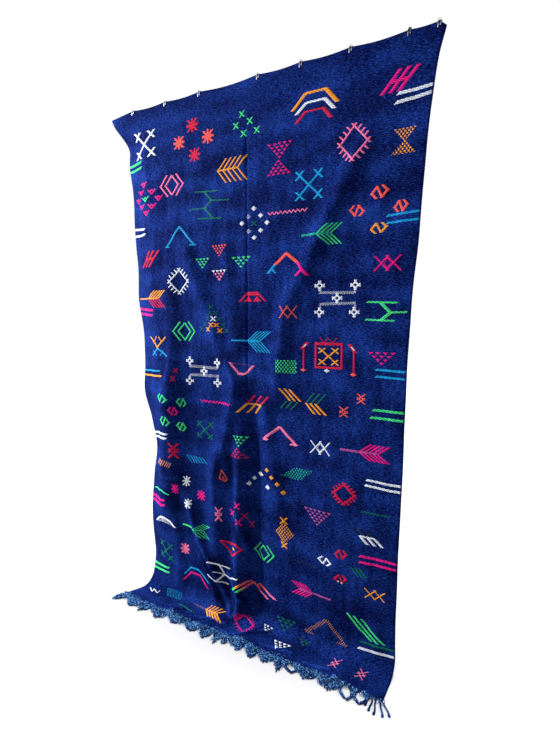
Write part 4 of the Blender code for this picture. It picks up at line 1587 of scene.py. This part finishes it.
def lean_at(across):
    """How far the cords lean sideways at a place on the hem."""
    return float(along_table([row.across for row in LEANS], [row.lean for row in LEANS], across))


Tassel = namedtuple("Tassel", "start end reach gather slip peak hollow")


def plan_tassels(rng):
    """Where the tassels hang along the hem, and how each one falls."""
    left, right = half_widths(CLOTH_LENGTH)
    start, finish = -float(left), float(right) - FINGER_STRETCH
    tassels = []
    while start < finish:
        end = start + rng.uniform(NARROWEST_TASSEL, WIDEST_TASSEL)
        if finish - end < NARROWEST_TASSEL:
            end = finish
        hollow = start > HOLLOWS_FROM and end - start < HOLLOW_TASSEL
        reach = CORD_REACH * rng.uniform(*REACH_RANGE)
        gather = rng.uniform(*(HOLLOW_GATHER if hollow else GATHER_RANGE))
        slip = lean_at((start + end) / 2) + rng.uniform(*SLIP_RANGE)
        peak = rng.uniform(*PEAK_RANGE)
        tassels.append(Tassel(start, end - TASSEL_GAP, reach, gather, slip, peak, hollow))
        start = end
    return tassels


def tassel_cord(tassel, place):
    """The root, the tip and the sideways bow of the cord at a place across a tassel, from 0 to 1."""
    wide = tassel.end - tassel.start
    middle = (tassel.start + tassel.end) / 2
    offset = (place - 0.5) * wide
    root = hem_point(middle + offset)
    fullness, bow = HOLLOW_FULLNESS, math.copysign(HOLLOW_BOW * wide, offset)
    if not tassel.hollow:
        away = abs(place - tassel.peak) / max(tassel.peak, 1.0 - tassel.peak)
        fullness = EDGE_FULLNESS + PEAK_FULLNESS * (1.0 - away) ** FULLNESS_POWER
        bow = TASSEL_BOW * offset
    far = tassel.reach * fullness
    across = middle + tassel.slip * far + offset * tassel.gather
    return root, np.array([across, root[1] - far, FLOOR_LEVEL + YARN_RADIUS]), bow


def lay_tassel(tubes, tassel, rng):
    """Lays the cords of one tassel, every second one higher than the rest."""
    count = max(3, round((tassel.end - tassel.start) / CORD_PITCH))
    for number in range(count):
        root, tip, bow = tassel_cord(tassel, (number + 0.5) / count)
        tip[1] += rng.uniform(*TIP_JITTER)
        raised = SECOND_LAYER * (number % 2) + rng.uniform(*LAYER_JITTER)
        lay_cord(tubes, root, tip, bow + rng.uniform(*BOW_JITTER), raised, rng)


def lay_fingers(tubes, start, end, rng):
    """Lays the single cords that stand apart at the right corner."""
    for number, finger in enumerate(FINGERS):
        root = hem_point(start + (end - start) * (number + 0.5) / len(FINGERS))
        slip = finger.lean * finger.reach * FINGER_SLIP
        tip = np.array([root[0] + slip, root[1] - finger.reach, FLOOR_LEVEL + YARN_RADIUS])
        lay_cord(tubes, root, tip, FINGER_BOW, FINGER_RAISED, rng, FINGER_THICKNESS, FINGER_KNOB)


def loop_path(root, reach, lean, rise, slip):
    """A short loop of yarn that leaves the hem and comes back to it."""
    share = np.linspace(0.0, 1.0, LOOP_STEPS)
    angle = math.pi * (LOOP_SWEEP * share - LOOP_LEAD)
    path = np.repeat(root[None, :], LOOP_STEPS, axis=0)
    path[:, 0] += slip * np.sin(math.pi * share) + lean * share + LOOP_WIDTH * reach * np.cos(angle)
    path[:, 1] -= reach * np.sin(angle)
    path[:, 2] += rise * np.sin(math.pi * share) - LOOP_DROP * reach * share * share
    path[:, 2] = np.maximum(path[:, 2], FLOOR_LEVEL + CURL_RADIUS)
    return path


def lay_curl(tubes, middle, size, rng):
    """Lays a small curl of yarn, tilted at random, round a point in the tangle."""
    share = np.linspace(0.0, 1.0, CURL_STEPS)
    angle = rng.uniform(0.0, 2.0 * math.pi) + 2.0 * math.pi * rng.uniform(*CURL_TURNS) * share
    radius = size * (1.0 - CURL_CLOSING * share)
    tilt, turn = rng.uniform(*CURL_TILT), rng.uniform(0.0, 2.0 * math.pi)
    path = np.repeat(middle[None, :], CURL_STEPS, axis=0)
    path[:, 0] += radius * np.cos(angle)
    path[:, 1] += radius * np.sin(angle)
    path[:, 2] += tilt * radius * np.sin(angle + turn)
    path[:, 2] = np.maximum(path[:, 2], FLOOR_LEVEL + CURL_RADIUS)
    tubes.append((path, CURL_RADIUS * rng.uniform(*CURL_THICKNESS)))


def tangle_tassel(tubes, tassel, rng):
    """Lays curls over the cords of a tassel, and a few back over the hem."""
    rest = FLOOR_LEVEL + YARN_RADIUS + PLY_RADIUS
    for _ in range(round((tassel.end - tassel.start) * CURLS_PER_METRE)):
        root, tip, bow = tassel_cord(tassel, rng.uniform(0.0, 1.0))
        share = rng.uniform(*CURL_PLACE)
        middle = root + (tip - root) * share
        middle[0] += bow * math.sin(math.pi * max(share, 0.0))
        level = root[2] + (rest - root[2]) * float(smooth_step(share, 0.0, LIES_FROM))
        middle[2] = level + rng.uniform(*CURL_LIFT)
        size = rng.uniform(*(HOLLOW_CURL_SIZE if tassel.hollow else CURL_SIZE))
        lay_curl(tubes, middle, size, rng)


def lay_loops(tubes, left, right, rng):
    """Lays loops of yarn along the hem, over the roots of the cords."""
    loops = round((left + right) * LOOPS_PER_METRE)
    for number in range(loops):
        across = (left + right) * (number + rng.uniform(*LOOP_PLACE)) / loops - left
        reach = rng.uniform(*LOOP_REACH)
        slip = lean_at(across) * reach
        lean, rise = rng.uniform(*LOOP_LEAN), rng.uniform(*LOOP_RISE)
        path = loop_path(hem_point(across), reach, lean, rise, slip)
        tubes.append((path, CURL_RADIUS * rng.uniform(*LOOP_THICKNESS)))


def make_fringe(deep, pale):
    """The tassels and fingers of the hem in deep blue as painted shade, and the tangle over them in a paler
    blue as painted highlight.
    """
    rng = np.random.default_rng(FRINGE_SEED)
    left, right = (float(width) for width in half_widths(CLOTH_LENGTH))
    tassels = plan_tassels(rng)
    cords, tangle = [], []
    for tassel in tassels:
        lay_tassel(cords, tassel, rng)
    lay_fingers(cords, right - FINGER_STRETCH, right, rng)
    lay_loops(tangle, left, right, rng)
    for tassel in tassels:
        tangle_tassel(tangle, tassel, rng)
    for _ in range(CLUMP_CURLS):
        slips = rng.normal(0.0, CLUMP_SPREAD, 2)
        offset = np.array([slips[0] + CLUMP_SPREAD, slips[1], rng.uniform(*CLUMP_LIFT)])
        lay_curl(tangle, hem_point(-left) + offset, rng.uniform(*CLUMP_CURL_SIZE), rng)
    cord_piece = make_tubes("fringe_cords", cords, CORD_SIDES, deep)
    return cord_piece, make_tubes("fringe_tangle", tangle, LOOP_SIDES, pale)


def bar_points(path, first, second, halves):
    """Rings of points round a flattened bar with eased ends."""
    path = np.array(path, float)
    lead = (path[1] - path[0]) / np.linalg.norm(path[1] - path[0]) * BAR_EASE
    trail = (path[-2] - path[-1]) / np.linalg.norm(path[-2] - path[-1]) * BAR_EASE
    middle = np.vstack([path[0], path[0] + lead, path[1:-1], path[-1] + trail, path[-1]])
    scale = np.ones(len(middle))
    scale[[0, -1]] = BAR_END
    turns = (np.arange(BAR_SIDES) + 0.5) * 2.0 * math.pi / BAR_SIDES
    u = np.sign(np.cos(turns)) * np.abs(np.cos(turns)) ** BAR_SQUARENESS * halves[0]
    v = np.sign(np.sin(turns)) * np.abs(np.sin(turns)) ** BAR_SQUARENESS * halves[1]
    ring = u[:, None] * np.array(first) + v[:, None] * np.array(second)
    return middle[:, None] + scale[:, None, None] * ring


def clip_bars(place):
    """The long and the short prong of a clip, the plate behind the edge and the bridge over it."""
    face, top = CLIP_FACE, CLIP_BRIDGE
    long_prong = [(place - PRONG_SIDE, -face, top), (place - PRONG_SIDE, -face, -LONG_PRONG)]
    short_prong = [
        (place + PRONG_SIDE, -face, top),
        (place + BEND_SIDE, -face, -SHORT_PRONG_BEND),
        (place + FOOT_SIDE, -face, -SHORT_PRONG),
    ]
    plate = [(place, face, top), (place, face, -BACK_PLATE)]
    bridge = [(place, -face - CLIP_WIRE, top), (place, face + CLIP_WIRE, top)]
    return [
        bar_points(long_prong, ACROSS, OUT, (LONG_PRONG_HALF, CLIP_WIRE)),
        bar_points(short_prong, ACROSS, OUT, (SHORT_PRONG_HALF, CLIP_WIRE)),
        bar_points(plate, ACROSS, OUT, (CLIP_HALF, CLIP_WIRE)),
        bar_points(bridge, ACROSS, UP, (CLIP_HALF, CLIP_WIRE)),
    ]


def clip_knob(place):
    """A flattened round knob on a clip."""
    steps = np.linspace(0.0, math.pi, KNOB_RINGS)
    middle = np.array([place, 0.0, CLIP_BRIDGE + KNOB_LIFT * KNOB_RADIUS])
    path = middle - KNOB_SQUASH * KNOB_RADIUS * np.cos(steps)[:, None] * np.array(UP)
    return tube_points(path, KNOB_RADIUS * np.sin(steps) + KNOB_POLE, BAR_SIDES, up=ACROSS)


def clip_loop(place):
    """A loop of wire on a clip: half a turn, and a little past it at both ends."""
    steps = np.linspace(-LOOP_PAST * math.pi, (1.0 + LOOP_PAST) * math.pi, LOOP_RINGS)
    ring = np.stack([np.cos(steps), 0.0 * steps, np.sin(steps)], axis=1) * LOOP_RADIUS
    return tube_points(ring + np.array([place, 0.0, CLIP_BRIDGE + LOOP_LIFT]), LOOP_WIRE, BAR_SIDES, up=OUT)


def make_clip(number, place, steel, knob):
    """One clip over the top edge."""
    knobbed = number in KNOBBED_CLIPS
    parts = clip_bars(place) + [clip_knob(place) if knobbed else clip_loop(place)]
    points, faces, count = [], [], 0
    for part in parts:
        points.append(part.reshape(-1, 3))
        faces += tube_faces(len(part), BAR_SIDES, count)
        count += len(part) * BAR_SIDES
    piece = make_piece(f"bent_clip_{number}", np.concatenate(points), faces)
    shape = bmesh.new()
    shape.from_mesh(piece.data)
    bmesh.ops.recalc_face_normals(shape, faces=shape.faces)
    shape.to_mesh(piece.data)
    shape.free()
    piece.data.materials.append(knob if knobbed else steel)
    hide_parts(f"clip_{number}")
    return piece


class Finish:
    """A material made of nodes, which are added one after another."""

    def __init__(self, name, roughness=None, specular=None):
        self.material = bpy.data.materials.new(name)
        self.material.use_nodes = True
        self.nodes = self.material.node_tree.nodes
        self.links = self.material.node_tree.links
        self.shader = self.nodes["Principled BSDF"]
        if roughness is not None:
            self.shader.inputs["Roughness"].default_value = roughness
        if specular is not None:
            self.shader.inputs["Specular IOR Level"].default_value = specular

    def cloth_map(self):
        """The cloth's texture map, in metres."""
        place = self.nodes.new("ShaderNodeUVMap")
        place.uv_map = "OFBake"
        return self.stretched(place.outputs["UV"], (MAP_WIDTH, MAP_LENGTH, 1.0))

    def object_place(self):
        """Places on the piece itself, in metres."""
        return self.nodes.new("ShaderNodeTexCoord").outputs["Object"]

    def attribute(self, name):
        """A value that the mesh carries at its points."""
        node = self.nodes.new("ShaderNodeAttribute")
        node.attribute_name = name
        return node.outputs["Fac"]

    def stretched(self, place, scale):
        """Places stretched by a scale."""
        mapping = self.nodes.new("ShaderNodeMapping")
        mapping.inputs["Scale"].default_value = scale
        self.links.new(place, mapping.inputs["Vector"])
        return mapping.outputs["Vector"]

    def noise(self, place, scale, detail=2.0):
        """Noise with so many grains to a metre along each axis."""
        node = self.nodes.new("ShaderNodeTexNoise")
        node.inputs["Scale"].default_value = 1.0
        node.inputs["Detail"].default_value = detail
        self.links.new(self.stretched(place, scale), node.inputs["Vector"])
        return node.outputs["Fac"]

    def bands(self, place, scale, direction):
        """Slightly uneven bands of thread that follow each other in one direction."""
        node = self.nodes.new("ShaderNodeTexWave")
        node.bands_direction = direction
        node.inputs["Scale"].default_value = scale
        node.inputs["Distortion"].default_value = 0.6
        node.inputs["Detail"].default_value = 1.0
        node.inputs["Detail Scale"].default_value = 1.5
        self.links.new(place, node.inputs["Vector"])
        return node.outputs["Fac"]

    def maths(self, operation, first, second):
        """One step of arithmetic on a socket and a socket or a number."""
        node = self.nodes.new("ShaderNodeMath")
        node.operation = operation
        self.links.new(first, node.inputs[0])
        if isinstance(second, float):
            node.inputs[1].default_value = second
        else:
            self.links.new(second, node.inputs[1])
        return node.outputs["Value"]

    def mixed(self, *parts):
        """The sum of sockets, each times its weight."""
        total = None
        for socket, weight in parts:
            part = self.maths("MULTIPLY", socket, weight)
            total = part if total is None else self.maths("ADD", total, part)
        return total

    def colour(self, tone, shades):
        """Colours the surface along a ramp of shades."""
        ramp = self.nodes.new("ShaderNodeValToRGB")
        while len(ramp.color_ramp.elements) < len(shades):
            ramp.color_ramp.elements.new(0.5)
        for element, (place, shade) in zip(ramp.color_ramp.elements, shades):
            element.position = place
            element.color = (*shade, 1.0)
        self.links.new(tone, ramp.inputs["Fac"])
        self.links.new(ramp.outputs["Color"], self.shader.inputs["Base Color"])

    def relief(self, height, distance, strength):
        """Fine relief on the surface."""
        bump = self.nodes.new("ShaderNodeBump")
        bump.inputs["Distance"].default_value = distance
        bump.inputs["Strength"].default_value = strength
        self.links.new(height, bump.inputs["Height"])
        self.links.new(bump.outputs["Normal"], self.shader.inputs["Normal"])


def cloth_material():
    """Hand-spun blue weft over a close warp, with slubs, uneven dye, and painted highlight and shade along
    the wrinkles.
    """
    finish = Finish("woven_blue", roughness=0.90, specular=0.005)
    place = finish.cloth_map()
    slubs = finish.noise(place, (50.0, 420.0, 1.0))
    specks = finish.noise(place, (105.0, 520.0, 1.0), detail=3.0)
    dye = finish.noise(place, (4.0, 10.0, 1.0))
    # The wrinkles' painted highlight and painted shade lighten and darken the blue
    painted_light = finish.attribute("painted_light")
    finish.colour(finish.mixed((slubs, 0.32), (specks, 0.48), (dye, 0.20), (painted_light, 0.06)), CLOTH_SHADES)
    weft = finish.bands(place, 72.0, "Y")
    warp = finish.bands(place, 58.0, "X")
    finish.relief(finish.mixed((weft, 1.0), (warp, 0.6), (slubs, 1.6)), 0.0007, 0.7)
    return finish.material


def thread_material(colour):
    """Glossy floss of one colour, with its strands running along each float."""
    finish = Finish(f"thread_{colour}", roughness=0.70, specular=0.03)
    place = finish.cloth_map()
    strands = finish.noise(place, (60.0, 1500.0, 1.0))
    uneven = finish.noise(place, (90.0, 330.0, 1.0))
    plain = COLOURS[colour]
    dark = tuple(THREAD_DARK * value for value in plain)
    light = tuple(THREAD_LIGHT * value + THREAD_LIFT for value in plain)
    finish.colour(finish.mixed((strands, 0.5), (uneven, 0.5)), list(zip(THREAD_PLACES, (dark, plain, light))))
    finish.relief(strands, 0.0003, 0.5)
    return finish.material


def fringe_material(name, shades):
    """Loose woollen yarn in three shades."""
    finish = Finish(name, roughness=0.90, specular=0.06)
    place = finish.object_place()
    broad = finish.noise(place, (150.0, 150.0, 150.0))
    fine = finish.noise(place, (480.0, 480.0, 480.0))
    finish.colour(finish.mixed((broad, 0.6), (fine, 0.4)), shades)
    finish.relief(fine, 0.0006, 0.7)
    return finish.material


def clip_material():
    """Bright bent steel, a little scuffed."""
    finish = Finish("clip_steel")
    scuffs = finish.noise(finish.object_place(), (900.0, 900.0, 180.0), detail=3.0)
    finish.colour(scuffs, STEEL_SHADES)
    rough = finish.maths("ADD", finish.mixed((scuffs, 0.3)), 0.3)
    finish.links.new(rough, finish.shader.inputs["Roughness"])
    finish.shader.inputs["Metallic"].default_value = 1.0
    return finish.material


def knob_material():
    """Dark painted metal, rubbed a little paler in places."""
    finish = Finish("clip_knob", roughness=0.45)
    rubs = finish.noise(finish.object_place(), (500.0, 500.0, 500.0), detail=3.0)
    finish.colour(rubs, KNOB_SHADES)
    return finish.material


def floor_material():
    """A plain pale floor."""
    finish = Finish("pale_floor", roughness=0.90)
    finish.shader.inputs["Base Color"].default_value = (0.90, 0.90, 0.90, 1.0)
    return finish.material


def make_floor():
    """The floor that the rug's foot lies on."""
    mesh = bpy.data.meshes.new("floor")
    shape = bmesh.new()
    bmesh.ops.create_grid(shape, x_segments=1, y_segments=1, size=FLOOR_HALF)
    bmesh.ops.translate(shape, vec=(0.0, 0.0, FLOOR_LEVEL - FLOOR_GAP), verts=shape.verts)
    shape.to_mesh(mesh)
    shape.free()
    floor = bpy.data.objects.new("floor", mesh)
    bpy.context.scene.collection.objects.link(floor)
    mesh.materials.append(floor_material())
    return floor


def add_light(name, place, target, size, energy):
    """A square studio light aimed at a point."""
    light = bpy.data.lights.new(name, "AREA")
    light.size = size
    light.energy = energy
    lamp = bpy.data.objects.new(name, light)
    lamp.location = place
    lamp.rotation_euler = (Vector(target) - Vector(place)).to_track_quat("-Z", "Y").to_euler()
    bpy.context.scene.collection.objects.link(lamp)
    return lamp


def light_studio():
    """A soft key light from the left, which skims the folds, and a white surround."""
    key = add_light("key_light", KEY_PLACE, KEY_TARGET, KEY_SIZE, KEY_ENERGY)
    world = bpy.data.worlds.new("studio")
    world.use_nodes = True
    surround = world.node_tree.nodes["Background"]
    surround.inputs["Color"].default_value = (1.0, 1.0, 1.0, 1.0)
    surround.inputs["Strength"].default_value = SURROUND_STRENGTH
    bpy.context.scene.world = world
    bpy.context.scene.view_settings.view_transform = "Standard"
    return key


def light_only(lamp, pieces):
    """Keeps a light off everything but the pieces."""
    lit = bpy.data.collections.new(f"lit_by_{lamp.name}")
    for piece in pieces:
        lit.objects.link(piece)
    lamp.light_linking.receiver_collection = lit


def light_floor(floor):
    """A light from straight above that keeps the floor pale."""
    light = bpy.data.lights.new("floor_light", "SUN")
    light.energy = FLOOR_LIGHT
    light.angle = math.radians(FLOOR_LIGHT_ANGLE)
    lamp = bpy.data.objects.new("floor_light", light)
    bpy.context.scene.collection.objects.link(lamp)
    light_only(lamp, [floor])


def add_camera():
    """The camera at the photograph's viewing angle."""
    lens = bpy.data.cameras.new("camera")
    lens.lens = CAMERA_LENS
    lens.sensor_width = CAMERA_SENSOR
    camera = bpy.data.objects.new("camera", lens)
    camera.location = CAMERA_PLACE
    camera.rotation_euler = [math.radians(turn) for turn in CAMERA_TURN]
    bpy.context.scene.collection.objects.link(camera)
    bpy.context.scene.camera = camera


def make_threads(cloth):
    """The ornament, one piece for each colour of thread."""
    threads = []
    for colour, floats in sorted(weave_chart().items()):
        thread = make_floats(cloth, colour, floats, thread_material(colour))
        threads.append(thread)
    return threads


def main():
    """Loads the frame and dresses it."""
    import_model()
    add_camera()
    key = light_studio()
    light_floor(make_floor())
    cloth = hang_cloth()
    sheet = make_cloth(cloth, cloth_material())
    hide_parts("rug_cloth")
    selvedges = make_selvedges(sheet.data.materials[0])
    # The cords take the deeper colour as painted shade, and the tangle the paler one as painted highlight
    fringe = make_fringe(fringe_material("fringe_painted_shade", PAINTED_SHADE_YARN), fringe_material("fringe_painted_highlight", PAINTED_HIGHLIGHT_YARN))
    for part in fringe:
        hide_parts("hem_fringe")
    threads = make_threads(cloth)
    steel, knob = clip_material(), knob_material()
    clips = [make_clip(number, place, steel, knob) for number, place in enumerate(CLIP_PLACES, 1)]
    pieces = [sheet, selvedges, *fringe, *threads, *clips]
    for piece in pieces:
        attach(piece, BODY)
    light_only(key, pieces)


main()
